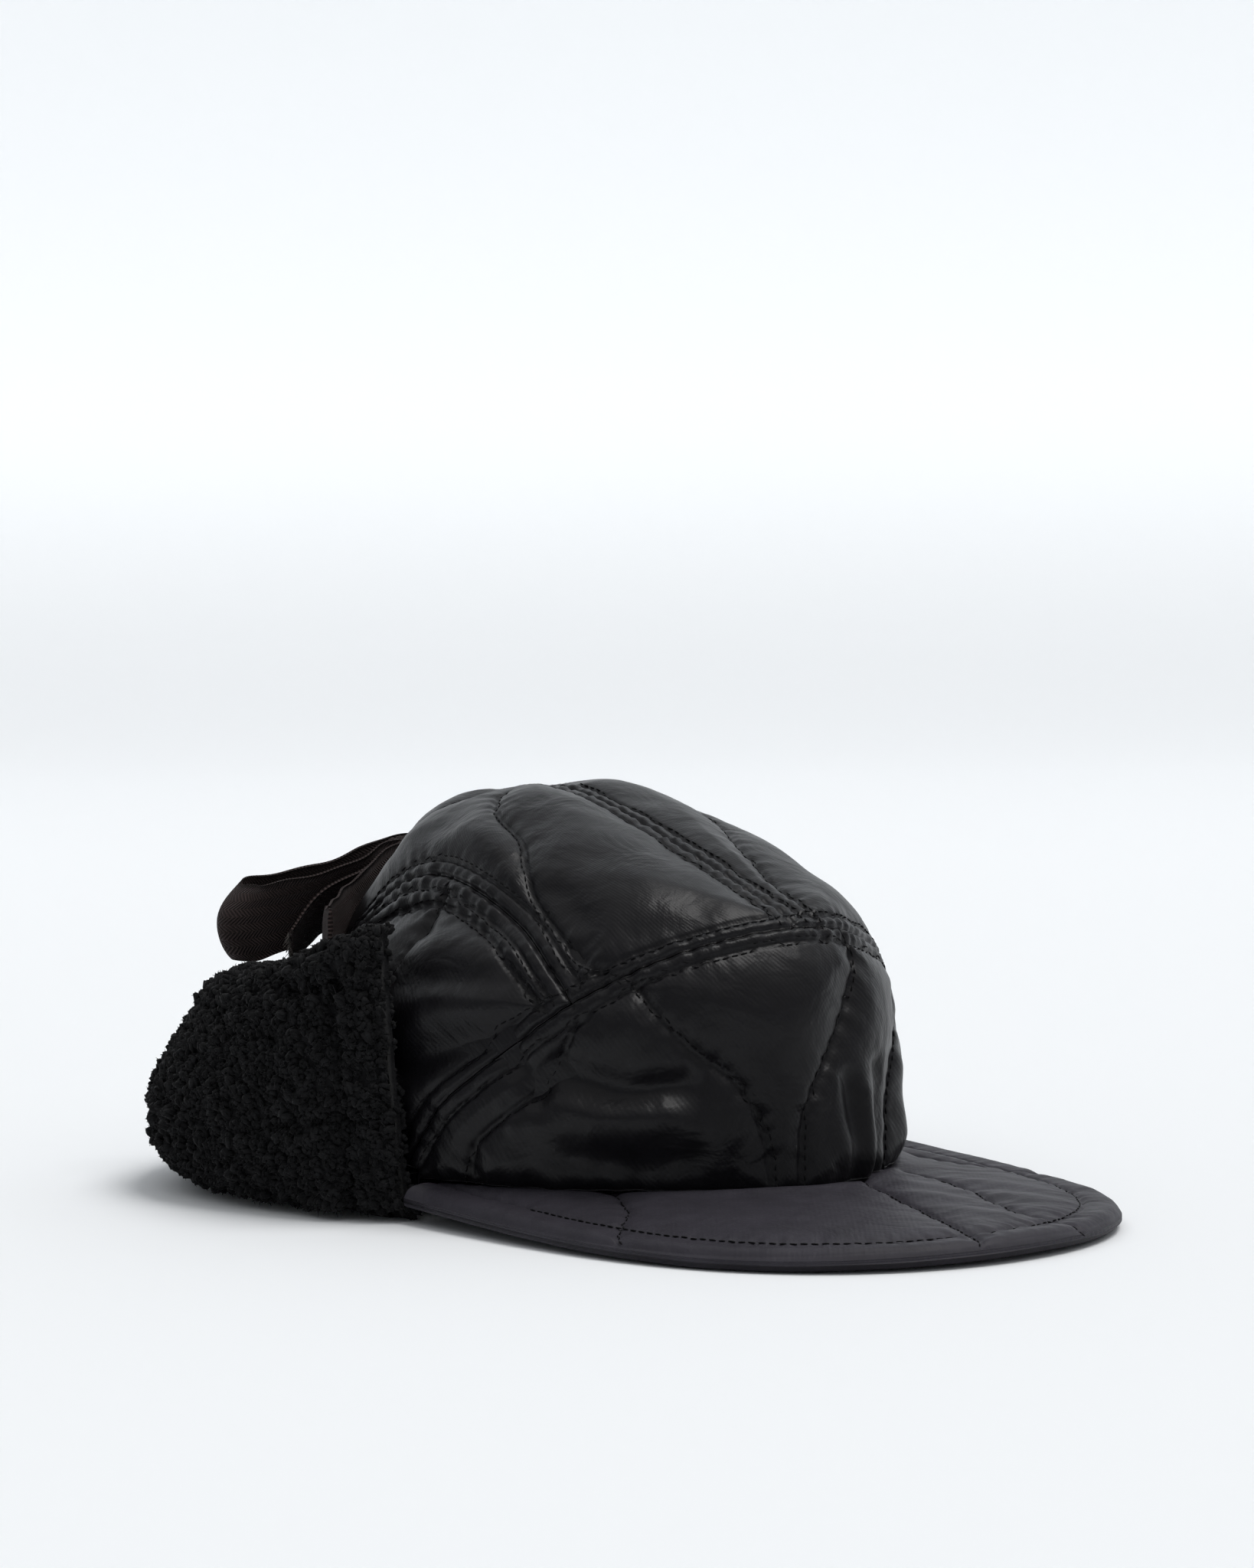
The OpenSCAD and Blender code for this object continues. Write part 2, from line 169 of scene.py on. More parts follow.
WRAP_END, WRAP_TOP, WRAP_POWER = 84.0, 3.75, 0.72
ARC_MIDDLE, ARC_HALF, ARC_TOP, ARC_MEET = 93.0, 60.0, 5.05, 50.0
# Rough width and height of each kind of panel, which set its grid, and the levels left free
# along a seam
PANEL_SPAN = {"front": (290, 84), "rear": (170, 100), "top": (260, 110)}
SEAM_GAP = 0.010
# Cloth along one degree of turn, and up one level, in millimetres
DEGREE_MM, LEVEL_MM = 1.6, 22
# How far a side panel stays from the middle plane
MIDDLE_GAP = 0.15


def sizes():
    """The scene's property groups, by short names."""
    s = bpy.context.scene
    return s.cap_crown, s.cap_brim, s.cap_flap, s.cap_tape, s.cap_colours


def hat_shift():
    """How far the hat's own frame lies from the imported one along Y."""
    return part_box("rear_hem")[1].y / MM - (WIDEST_Y + sizes()[0].back)


def level(s, column):
    """A profile value between two levels, on a smooth curve."""
    k = np.clip(np.floor(s).astype(int), 0, len(LEVELS) - 2)
    t = s - k
    a, b, c, d = (LEVELS[np.clip(k + i, 0, len(LEVELS) - 1), column] for i in (-1, 0, 1, 2))
    return b + 0.5 * t * (c - a + t * (2 * a - 5 * b + 4 * c - d + t * (3 * (b - c) + d - a)))


def crown_point(turn, s):
    """Points of the crown's outer face. Turn is from the front, right side positive."""
    crown, brim = sizes()[:2]
    turn, s = np.broadcast_arrays(np.asarray(turn, float), np.asarray(s, float))
    sn, cs = np.sin(np.radians(turn)), np.cos(np.radians(turn))
    front = np.abs(turn) < 90
    e = 2 / np.where(front, 1.75 + 0.25 * np.minimum(1, s / 2), 2.2)
    mid_y = WIDEST_Y + (TOP_Y - WIDEST_Y) * level(s, 6)
    front_y = TOP_Y - (TOP_Y - WIDEST_Y + crown.front) * level(s, 2)
    rear_y = TOP_Y + (WIDEST_Y + crown.back - TOP_Y) * level(s, 4)
    side_base, front_base = brim.seat + 0.9, brim.seat + 0.6
    side_z = side_base + (crown.height - side_base) * level(s, 1)
    front_z = front_base + (crown.height - front_base) * level(s, 3)
    rear_z = BASE_REAR_Z + (crown.height - BASE_REAR_Z) * level(s, 5)
    reach = np.abs(cs) ** e
    x = -crown.half_width * level(s, 0) * np.sign(sn) * np.abs(sn) ** e
    y = mid_y + np.where(front, front_y - mid_y, rear_y - mid_y) * reach
    z = side_z * sn ** 2 + np.where(front, front_z, rear_z) * cs ** 2
    return np.stack([x, y + hat_shift(), z], -1)


def crown_normal(turn, s):
    """Outward unit normals of the crown's face."""
    s = np.clip(s, 0.05, TOP_S - 0.1)
    along = crown_point(turn + 0.4, s) - crown_point(turn - 0.4, s)
    up = crown_point(turn, s + 0.04) - crown_point(turn, s - 0.04)
    n = np.cross(up, along)
    return n / np.linalg.norm(n, axis=-1, keepdims=True)


def wrap_seam(turn):
    """Level of the front panel's upper seam."""
    return WRAP_TOP * np.maximum(0, np.cos(np.radians(turn * 90 / WRAP_END))) ** WRAP_POWER


def arc_seam(turn):
    """Level of the arched seam over the rear side panels."""
    return ARC_TOP * (1 - ((np.abs(turn) - ARC_MIDDLE) / ARC_HALF) ** 2)


def curve_through(points, count=60):
    """A smooth line through hand-picked points, as an array of evenly spread points."""
    p = np.array(points, float)
    ext = np.vstack([2 * p[0] - p[1], p, 2 * p[-1] - p[-2]])
    t = np.linspace(0, len(p) - 1 - 1e-9, count)
    k = np.floor(t).astype(int)
    f = (t - k)[:, None]
    a, b, c, d = (ext[k + i] for i in range(4))
    return b + 0.5 * f * (c - a + f * (2 * a - 5 * b + 4 * c - d + f * (3 * (b - c) + d - a)))


# Quilting lines as [turn, level]: wavy lines a hand's width apart.
WRAP_QUILTS = [
    [(40, 2.9), (29, 1.9), (19, 1.35), (15, 0.75), (15, 0)],
    [(-17, 3.5), (-16, 2.8), (-5, 1.75), (5, 1.0), (9, 0)],
    [(49, 2.3), (54, 1.5), (60, 1.05), (67, 0.6), (69, 0)],
    [(-44, 2.8), (-38, 2.0), (-29, 1.2), (-26, 0.6), (-26, 0)],
    [(-58, 2.0), (-61, 1.4), (-57, 0.7), (-59, 0)]]
TOP_RIGHT_QUILTS = [
    [(100, 7.3), (86, 6.95), (62, 6.1), (62, 5.35), (62, 4.65), (58, 4.0), (50, 3.3), (42, 2.9)],
    [(138, 7.0), (135, 5.9), (143, 4.6), (160, 3.0), (164, 1.4), (162, 0)]]
TOP_LEFT_QUILTS = [
    [(-80, 6.6), (-46, 6.15), (-27, 5.8), (-13, 4.85), (-9, 3.7)],
    [(-128, 6.9), (-96, 6.3), (-74, 5.4), (-60, 4.3), (-46, 3.0)],
    [(-150, 7.1), (-142, 5.7), (-154, 4.2), (-160, 2.2), (-166, 0)]]
REAR_QUILTS = [
    [(88, 4.9), (89, 4.3), (90, 3.7), (93, 2.9), (97, 1.9), (93, 0.9), (90, 0)],
    [(118, 4.1), (115, 3.1), (124, 2.0), (128, 1.0), (124, 0)]]
# Soft folds as ([turn, level] line, depth, width): a minus depth is a hollow.
FOLDS = [
    ([(90, 1.45), (80, 1.7), (72, 1.95), (64, 2.05)], -3.6, 6),
    ([(92, 2.2), (80, 2.45), (68, 2.45)], 2.0, 9),
    ([(94, 1.0), (84, 1.15), (76, 1.3)], 2.2, 8),
    ([(54, 1.6), (46, 1.44), (38, 1.3), (30, 1.36)], -3.4, 5.5),
    ([(60, 0.9), (50, 0.95), (41, 0.88), (32, 0.98)], 2.2, 6),
    ([(52, 1.2), (44, 1.05), (34, 1.12)], 1.2, 3),
    ([(100, 6.2), (120, 6.9), (150, 7.3), (200, 7.5)], -2.2, 13),
    ([(50, 2.35), (40, 2.2), (30, 2.25)], 1.4, 7),
    ([(50, 0.5), (44, 0.45), (35, 0.42), (29, 0.5)], -1.6, 5),
    ([(62, 1.75), (58, 1.55), (56, 1.3)], -2.4, 4),
    ([(72, 0.9), (60, 0.3), (48, 0.15)], 1.8, 8),
    ([(5, 2.6), (3, 1.4), (-1, 0.5)], 1.4, 14),
    ([(-8, 1.3), (-10, 0.1)], -1.9, 3.5),
    ([(-13, 1.1), (-14, 0.1)], 1.7, 3.5),
    ([(-19, 1.4), (-20, 0.1)], -1.9, 3.5),
    ([(0, 0.9), (-2, 0.1)], -1.0, 4),
    ([(22, 0.5), (24, 0.05)], -1.0, 4),
    ([(-48, 1.9), (-40, 1.2), (-42, 0.4)], -2.6, 7),
    ([(-36, 1.2), (-34, 0.5)], 1.8, 7),
    ([(70, 3.5), (80, 3.6), (88, 3.3)], 1.8, 8),
    ([(66, 2.9), (76, 2.9), (86, 2.9)], -1.6, 6),
    ([(104, 2.6), (112, 2.0), (108, 1.0)], -2.2, 7),
    ([(134, 2.2), (146, 2.8), (158, 2.2)], -1.8, 8),
    ([(30, 5.0), (36, 6.0), (30, 6.8)], 1.2, 14),
    ([(54, 3.2), (50, 3.9), (56, 4.8)], -1.4, 5),
    ([(66, 5.2), (72, 5.8), (80, 6.2)], 1.4, 8),
    ([(-90, 3.4), (-76, 2.6), (-70, 1.4)], -2.4, 8),
    ([(-100, 2.0), (-88, 1.5), (-78, 1.2)], 2.0, 8),
    ([(-120, 3.0), (-128, 2.0), (-120, 0.9)], -2.0, 7),
    ([(24, 4.3), (40, 3.75)], -1.2, 6)]


class LineField:
    """Distances from surface points to a set of stitched lines."""

    def __init__(self, lines):
        self.a = np.vstack([l[:-1] for l in lines])
        self.b = np.vstack([l[1:] for l in lines])
        runs = []
        offset = 0.0
        for l in lines:
            steps = np.linalg.norm(np.diff(l, axis=0), axis=1)
            runs.append(offset + np.concatenate([[0], np.cumsum(steps)[:-1]]))
            offset += steps.sum() + 37.0
        self.run = np.concatenate(runs)
        self.ab = self.b - self.a
        self.len2 = np.maximum((self.ab ** 2).sum(1), 1e-9)

    def nearest(self, points):
        """Distance to the nearest line and how far along it that is."""
        best = np.full(len(points), 1e9)
        along = np.zeros(len(points))
        for i in range(len(self.a)):
            ap = points - self.a[i]
            t = np.clip(ap @ self.ab[i] / self.len2[i], 0, 1)
            d = np.linalg.norm(ap - t[:, None] * self.ab[i], axis=1)
            closer = d < best
            best[closer] = d[closer]
            along[closer] = self.run[i] + t[closer] * math.sqrt(self.len2[i])
        return best, along


def smooth_noise(points, scale, seed):
    """Soft repeatable noise from summed waves, about -1 to 1."""
    rng = np.random.default_rng(seed)
    total = np.zeros(len(points))
    for _ in range(9):
        direction = rng.normal(size=3)
        direction *= rng.uniform(0.6, 1.5) / np.linalg.norm(direction)
        total += np.sin(points @ direction * (2 * math.pi / scale) + rng.uniform(0, 6.3))
    return total / 4.5


def on_crown(line, count=60):
    """A [turn, level] line as points on the crown's face."""
    g = curve_through(line, count)
    return crown_point(g[:, 0], np.clip(g[:, 1], 0, TOP_S))


def seam_curves():
    """The crown's sewn seams, as points."""
    turns = np.linspace(-WRAP_END, WRAP_END, 110)
    curves = {"wrap": crown_point(turns, wrap_seam(turns))}
    ahead = np.linspace(WRAP_TOP, TOP_S, 40)
    behind = np.linspace(TOP_S, 0, 60)
    curves["middle"] = np.vstack([crown_point(0.0, ahead), crown_point(180.0, behind)])
    for side, sign in SIDES:
        turns = np.linspace(ARC_MEET, ARC_MIDDLE + ARC_HALF, 90)
        curves["arc_" + side] = crown_point(sign * turns, np.maximum(0, arc_seam(turns)))
    return curves


def quilt_curves():
    """The crown's quilting lines, as points, by panel."""
    mirrored = [[(-t, s) for t, s in line] for line in REAR_QUILTS]
    inner_arc = [(56, 2.45), (65, 3.2), (74, 3.85), (89, 4.35), (107, 3.95), (122, 3.0),
                 (133, 1.6)]
    rows = {
        "front_wrap_panel": WRAP_QUILTS,
        "top_panel_right": TOP_RIGHT_QUILTS,
        "top_panel_left": TOP_LEFT_QUILTS,
        "rear_panel_right": REAR_QUILTS + [inner_arc],
        "rear_panel_left": mirrored + [[(-t, s) for t, s in inner_arc]]}
    return {panel: [on_crown(line) for line in lines] for panel, lines in rows.items()}


def panel_side(panel):
    """-1 for a panel on the left, 1 for any other."""
    return -1 if panel.endswith("left") else 1


def panel_grid(panel, spacing):
    """Turn and level at each grid point of a crown panel, rows by columns."""
    if panel == "front_wrap_panel":
        first, last = -WRAP_END + 1.2, WRAP_END - 1.2
        low = lambda t: np.zeros_like(t)
        high = lambda t: np.maximum(0.02, wrap_seam(t) - SEAM_GAP)
    elif panel.startswith("rear"):
        first, last = ARC_MEET + 1.0, ARC_MIDDLE + ARC_HALF - 1.0
        low = lambda t: np.where(t < WRAP_END, wrap_seam(t) + SEAM_GAP, 0)
        high = lambda t: np.maximum(low(t) + 0.02, arc_seam(t) - SEAM_GAP)
    else:
        first, last = 0.0, 180.0
        low = lambda t: SEAM_GAP + np.where(t < ARC_MEET, wrap_seam(t),
                                            np.maximum(0, arc_seam(t)))
        high = lambda t: np.full_like(t, TOP_S)
    nu, nv = (int(span / spacing) for span in PANEL_SPAN[panel.partition("_")[0]])
    t = np.linspace(first, last, nu)
    v = np.linspace(0, 1, nv)
    turn = np.repeat(t[:, None], nv, 1)
    s = low(turn) + (high(turn) - low(turn)) * v[None, :]
    return (turn, s) if panel_side(panel) > 0 else (-turn[::-1], s[::-1])


# ---------------------------------------------------------------- mesh helpers

def linked_object(name, data):
    """A new object for a mesh, light or camera, in the scene."""
    obj = bpy.data.objects.new(name, data)
    bpy.context.collection.objects.link(obj)
    return obj


def closed_object(name, points, faces):
    """An object from a closed mesh's points in millimetres and its faces."""
    mesh = bpy.data.meshes.new(name)
    mesh.from_pydata((np.array(points) * MM).tolist(), [], faces)
    make_outward(mesh)
    return linked_object(name, mesh)


def slab_object(name, outer, inner, uv=None):
    """A closed slab between two grids of points in millimetres, rows by columns."""
    nu, nv = outer.shape[:2]
    n = nu * nv
    verts = np.vstack([outer.reshape(-1, 3), inner.reshape(-1, 3)]) * MM
    i, j = np.meshgrid(np.arange(nu - 1), np.arange(nv - 1), indexing="ij")
    a = (i * nv + j).ravel()
    top = np.stack([a, a + nv, a + nv + 1, a + 1], 1)
    ring = np.concatenate([np.arange(nv - 1), np.arange(nu - 1) * nv + nv - 1,
                           (nu - 1) * nv + np.arange(nv - 1, 0, -1),
                           np.arange(nu - 1, 0, -1) * nv])
    nxt = np.roll(ring, -1)
    sides = np.stack([nxt, nxt + n, ring + n, ring], 1)
    faces = np.vstack([top[:, ::-1], top + n, sides])
    mesh = bpy.data.meshes.new(name)
    mesh.from_pydata(verts.tolist(), [], faces.tolist())
    if uv is not None:
        coords = np.vstack([uv.reshape(-1, 2), uv.reshape(-1, 2)])
        layer = mesh.uv_layers.new(name="cloth")
        loops = np.empty(len(mesh.loops), int)
        mesh.loops.foreach_get("vertex_index", loops)
        layer.data.foreach_set("uv", coords[loops].astype(np.float32).ravel())
    make_outward(mesh)
    return linked_object(name, mesh)


def make_outward(mesh):
    """Turns all faces if the closed mesh's volume is negative, and shades it smooth."""
    mesh.update()
    mesh.calc_loop_triangles()
    tri = np.empty(len(mesh.loop_triangles) * 3, int)
    mesh.loop_triangles.foreach_get("vertices", tri)
    co = np.empty(len(mesh.vertices) * 3)
    mesh.vertices.foreach_get("co", co)
    p = co.reshape(-1, 3)[tri].reshape(-1, 3, 3)
    volume = np.einsum("ij,ij->i", p[:, 0], np.cross(p[:, 1], p[:, 2])).sum()
    if volume < 0:
        mesh.flip_normals()
    mesh.polygons.foreach_set("use_smooth", [True] * len(mesh.polygons))
    mesh.update()


def finish_piece(obj, body, material, replaces=()):
    """Gives a piece its material and seats it on its body."""
    obj.data.materials.clear()
    obj.data.materials.append(material)
    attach(obj, body)
    if replaces:
        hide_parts(*replaces)
    return obj


def evaluated_mesh(obj, name):
    """The plain mesh that an object's modifiers make, as a new object; the old one goes."""
    bpy.context.view_layer.update()
    graph = bpy.context.evaluated_depsgraph_get()
    mesh = bpy.data.meshes.new_from_object(obj.evaluated_get(graph))
    if not len(mesh.polygons):
        raise RuntimeError(name + ": its node tree made no faces")
    bpy.data.objects.remove(obj, do_unlink=True)
    mesh.name = name
    mesh.polygons.foreach_set("use_smooth", [True] * len(mesh.polygons))
    return linked_object(name, mesh)


# ---------------------------------------------------------------- materials

# Widths in metres: the nylon's rib as drawn, and the tape's chevron and half its rib
NYLON_RIB = 0.0007
CHEVRON, HALF_RIB = 0.0024, 0.0006


def add_node(tree, kind, links=(), **settings):
    """Adds a node, sets its properties and inputs, and links (input, source socket) pairs."""
    node = tree.nodes.new(kind)
    for key, value in settings.items():
        if key.startswith("in_"):
            slot_key = key[3:].replace("_", " ")
            node.inputs[int(slot_key) if slot_key.isdigit() else slot_key].default_value = value
        else:
            setattr(node, key, value)
    for target, source in links:
        tree.links.new(source, node.inputs[target])
    return node


def new_material(name, colour, roughness, **shader):
    """A material with one shader; returns it, its tree and the shader node."""
    mat = bpy.data.materials.new(name)
    mat.use_nodes = True
    tree = mat.node_tree
    bsdf = tree.nodes["Principled BSDF"]
    bsdf.inputs["Base Color"].default_value = (*colour, 1)
    bsdf.inputs["Roughness"].default_value = roughness
    for key, value in shader.items():
        bsdf.inputs[key.replace("_", " ")].default_value = value
    return mat, tree, bsdf


def object_coords(tree):
    """The object's own coordinates as a socket."""
    return add_node(tree, "ShaderNodeTexCoord").outputs["Object"]


def cloth_coords(tree):
    """The cloth's flat coordinates, in metres, as a socket."""
    return add_node(tree, "ShaderNodeUVMap", uv_map="cloth").outputs["UV"]


def noise(tree, coords, scale, detail, **more):
    """A noise texture's value socket."""
    return add_node(tree, "ShaderNodeTexNoise", [("Vector", coords)], in_Scale=scale,
                    in_Detail=detail, **more).outputs["Fac"]


def shades(tree, bsdf, factor, colour, light, dark):
    """Base colour from a dark to a light shade of one colour; returns the ramp's stops."""
    node = add_node(tree, "ShaderNodeValToRGB", [("Fac", factor)])
    stops = node.color_ramp.elements
    stops[0].color = (*[c * dark for c in colour], 1)
    stops[1].color = (*[min(1, c * light) for c in colour], 1)
    tree.links.new(node.outputs["Color"], bsdf.inputs["Base Color"])
    return stops


def mottle(tree, bsdf, coords, colour, scale, light, dark):
    """Slow light and dark patches in the base colour."""
    patches = noise(tree, coords, scale, 4.0, in_Roughness=0.6)
    stops = shades(tree, bsdf, patches, colour, light, dark)
    stops[0].position, stops[1].position = 0.3, 0.72


def bump(tree, bsdf, height, strength, distance, after=None):
    """A bump from a height socket; returns the bump's normal socket."""
    node = add_node(tree, "ShaderNodeBump", [("Height", height)], in_Strength=strength,
                    in_Distance=distance)
    if after is not None:
        tree.links.new(after, node.inputs["Normal"])
    tree.links.new(node.outputs["Normal"], bsdf.inputs["Normal"])
    return node.outputs["Normal"]


def nylon_satin(name, colour, roughness=0.37):
    """Satin twill nylon, calendered: a soft wide gloss with a fine diagonal rib.

    The real rib is 0.3 mm, too fine to show, so it is drawn at 0.7 mm."""
    mat, tree, bsdf = new_material(name, colour, roughness, Specular_IOR_Level=0.21)
    obj = object_coords(tree)
    mottle(tree, bsdf, obj, colour, 60.0, 1.25, 0.82)
    turned = add_node(tree, "ShaderNodeMapping", [("Vector", cloth_coords(tree))],
                      in_Rotation=(0, 0, math.radians(38)))
    rib = add_node(tree, "ShaderNodeTexWave", [("Vector", turned.outputs["Vector"])],
                   in_Scale=1 / NYLON_RIB / 6.28, in_Distortion=0.6, in_Detail=1.0)
    creases = noise(tree, obj, 150.0, 5.0, in_Roughness=0.55, in_Distortion=0.6)
    rumple = noise(tree, obj, 48.0, 4.0, in_Roughness=0.5, in_Distortion=1.1)
    slow = bump(tree, bsdf, rumple, 0.32, 0.0035)
    first = bump(tree, bsdf, creases, 0.3, 0.0007, slow)
    bump(tree, bsdf, rib.outputs["Fac"], 0.16, 0.00012, first)
    rough = add_node(tree, "ShaderNodeMapRange", [("Value", creases)],
                     in_To_Min=roughness - 0.06, in_To_Max=roughness + 0.08)
    tree.links.new(rough.outputs["Result"], bsdf.inputs["Roughness"])
    return mat


def pile_curls(name, colour):
    """Curled polyester pile: matt, with a faint light on the curls' tips."""
    mat, tree, bsdf = new_material(name, colour, 0.9, Sheen_Weight=0.03, Sheen_Roughness=0.4,
                                   Specular_IOR_Level=0.12)
    obj = object_coords(tree)
    mottle(tree, bsdf, obj, colour, 240.0, 1.9, 0.5)
    bump(tree, bsdf, noise(tree, obj, 1500.0, 3.0), 0.5, 0.0004)
    return mat


def herringbone_cotton(name, colour):
    """Woven herringbone tape: matt cotton, chevrons 2.4 mm wide with a 1.2 mm rib."""
    mat, tree, bsdf = new_material(name, colour, 0.86, Sheen_Weight=0.04, Sheen_Roughness=0.5,
                                   Specular_IOR_Level=0.15)
    parts = add_node(tree, "ShaderNodeSeparateXYZ", [("Vector", cloth_coords(tree))])
    math_node = lambda op, links, **kw: add_node(tree, "ShaderNodeMath", links, operation=op,
                                                 **kw).outputs[0]
    zigzag = math_node("PINGPONG", [(0, parts.outputs["Y"])], in_1=CHEVRON)
    slant = math_node("ADD", [(0, parts.outputs["X"]), (1, zigzag)])
    rib = math_node("PINGPONG", [(0, slant)], in_1=HALF_RIB)
    height = math_node("MULTIPLY", [(0, rib)], in_1=1 / HALF_RIB)
    shades(tree, bsdf, height, colour, 1.9, 0.5)
    first = bump(tree, bsdf, height, 0.9, 0.0007)
    fuzz = noise(tree, object_coords(tree), 2200.0, 3.0)
    bump(tree, bsdf, fuzz, 0.35, 0.0002, first)
    return mat


def woven_cloth(name, colour, rib_mm, roughness=0.8):
    """Plain woven cloth: two crossed ribs over a slow mottle."""
    mat, tree, bsdf = new_material(name, colour, roughness, Sheen_Weight=0.04,
                                   Sheen_Roughness=0.5, Specular_IOR_Level=0.2)
    obj = object_coords(tree)
    mottle(tree, bsdf, obj, colour, 90.0, 1.3, 0.8)
    last = None
    for axis in ("X", "Z"):
        rib = add_node(tree, "ShaderNodeTexWave", [("Vector", obj)], bands_direction=axis,
                       in_Scale=1000 / rib_mm / 6.28, in_Distortion=1.0)
        last = bump(tree, bsdf, rib.outputs["Fac"], 0.3, 0.0002, last)
    return mat


def sewing_thread(name, colour):
    """Twisted polyester thread: a little gloss on each stitch."""
    mat, tree, bsdf = new_material(name, colour, 0.65, Specular_IOR_Level=0.15)
    obj = object_coords(tree)
    mottle(tree, bsdf, obj, colour, 500.0, 1.4, 0.7)
    return mat


def materials():
    """The cap's materials, made once."""
    store = bpy.data.materials
    if "satin_nylon" in store:
        return store
    colours = sizes()[4]
    nylon_satin("satin_nylon", tuple(colours.nylon))
    # The brim's nylon is the crown's nylon colour made 6.6 times lighter: painted light for the
    # light falling on the brim's upper face. The under cover takes the same lighter colour.
    nylon_satin("brim_satin_nylon", [c * 6.6 for c in colours.nylon], 0.54)
    pile_curls("curled_pile", tuple(colours.pile))
    herringbone_cotton("herringbone_cotton", tuple(colours.tape))
    woven_cloth("lining_twill", tuple(colours.lining), 0.9, 0.6)
    woven_cloth("cotton_sweatband", [c * 0.8 for c in colours.lining], 1.2)
    woven_cloth("binding_tape", [c * 1.4 for c in colours.lining], 1.0)
    woven_cloth("blank_woven_label", tuple(colours.label), 0.8)
    sewing_thread("polyester_thread", tuple(colours.thread))
    sewing_thread("pale_cotton_yarn", linear("#6f6a66"))
    return store


# ---------------------------------------------------------------- crown panels

PANELS = ("front_wrap_panel", "top_panel_right", "top_panel_left", "rear_panel_right",
          "rear_panel_left")
LININGS = {"front_wrap_panel": "front_lining", "top_panel_right": "top_lining_right",
           "top_panel_left": "top_lining_left", "rear_panel_right": "rear_lining_right",
           "rear_panel_left": "rear_lining_left"}


def base_edge():
    """The crown's lower edge all round, as points."""
    return crown_point(np.linspace(-180, 180, 181), 0.0)


def crown_relief(panel, points, fields):
    """How far the quilted cloth stands off the crown's mean face at each point."""
    crown = sizes()[0]
    d_seam, run_seam = fields["seams"].nearest(points)
    d_quilt, run_quilt = fields[panel].nearest(points)
    d_base, run_base = fields["base"].nearest(points)
    past_band = np.maximum(0, d_seam - crown.band)
    near = np.minimum(np.minimum(past_band + 0.8, d_quilt), d_base * 1.4 + 0.6)
    swell = crown.puff * (1 - np.exp(-near / crown.puff_reach * 1.35))
    relief = swell - 0.64 * crown.puff
    # Seam bands lie flatter, with a groove at the seam and at each topstitch line
    in_band = np.exp(-(d_seam / crown.band) ** 4)
    relief += 0.5 * in_band
    relief -= 1.5 * np.exp(-(d_seam / 0.9) ** 2)
    relief -= 0.8 * np.exp(-((d_seam - crown.band) / 0.8) ** 2)
    relief -= 0.9 * np.exp(-(d_quilt / 1.0) ** 2)
    # Puckers run across each stitched line and fade with distance
    for d, run, reach, height, pitch in (
            (d_seam, run_seam, 6.5, 0.42, 5.2), (d_quilt, run_quilt, 5.5, 0.34, 6.4),
            (d_base, run_base, 9.0, 0.5, 9.5)):
        wobble = run + 2.2 * smooth_noise(points, 26, 5)
        wave = np.sin(wobble * (2 * math.pi / pitch)) + 0.6 * np.sin(wobble * 3.7 / pitch + 1.3)
        strength = 0.35 + 0.65 * (0.5 + 0.5 * smooth_noise(points, 45, 8))
        relief += height * strength * wave * np.exp(-(d / reach) ** 1.5)
    for line, depth, width in FOLDS:
        d = LineField([on_crown(line, 16)]).nearest(points)[0]
        relief += depth * np.exp(-(d / width) ** 2)
    relief += 0.45 * smooth_noise(points, 34, 11) + 0.22 * smooth_noise(points, 15, 12)
    return relief


def panel_slab(name, panel, grid, outer, inner, clear):
    """A slab over a crown panel's grid; a clear one stays on its side of the middle plane."""
    turn, s = grid
    side = panel_side(panel)
    if clear:
        for points in (outer, inner):
            points[:, 0] = -side * np.maximum(MIDDLE_GAP, -side * points[:, 0])
    uv = np.stack([turn * DEGREE_MM, s * LEVEL_MM], -1) * MM
    shape = (*turn.shape, 3)
    return slab_object(name, outer.reshape(shape), inner.reshape(shape), uv)


def quilted_panel(panel, fields):
    """One crown panel as a closed, puffed slab."""
    crown = sizes()[0]
    turn, s = panel_grid(panel, crown.fine)
    flat = crown_point(turn.ravel(), s.ravel())
    normals = crown_normal(turn.ravel(), s.ravel())
    outer = flat + normals * crown_relief(panel, flat, fields)[:, None]
    inner = flat - normals * (crown.wall - 0.2)
    return panel_slab(panel + "_cloth", panel, (turn, s), outer, inner, panel.startswith("top"))


def cloth_lining(panel):
    """The lining behind one panel: a thin sheet that follows it."""
    crown = sizes()[0]
    turn, s = panel_grid(panel, 4.0)
    s = np.minimum(s, 7.8)
    flat = crown_point(turn.ravel(), s.ravel())
    normals = crown_normal(turn.ravel(), s.ravel())
    ripple = 0.35 * smooth_noise(flat, 22, 21)[:, None]
    outer = flat - normals * (crown.wall + 0.7 + ripple * 0.5)
    inner = flat - normals * (crown.wall + 1.6 + ripple)
    return panel_slab(LININGS[panel] + "_cloth", panel, (turn, s), outer, inner,
                      not panel.startswith("front"))


class CAP_OT_crown(bpy.types.Operator):
    """Builds the five quilted crown panels"""

    bl_idname = "cap.crown"
    bl_label = "Crown panels"

    def execute(self, context):
        seams = seam_curves()
        quilts = quilt_curves()
        fields = {"seams": LineField(list(seams.values())),
                  "base": LineField([base_edge()])}
        for panel in PANELS:
            fields[panel] = LineField(quilts[panel])
        for panel in PANELS:
            piece = quilted_panel(panel, fields)
            finish_piece(piece, CROWN, materials()["satin_nylon"], [panel])
        return {"FINISHED"}


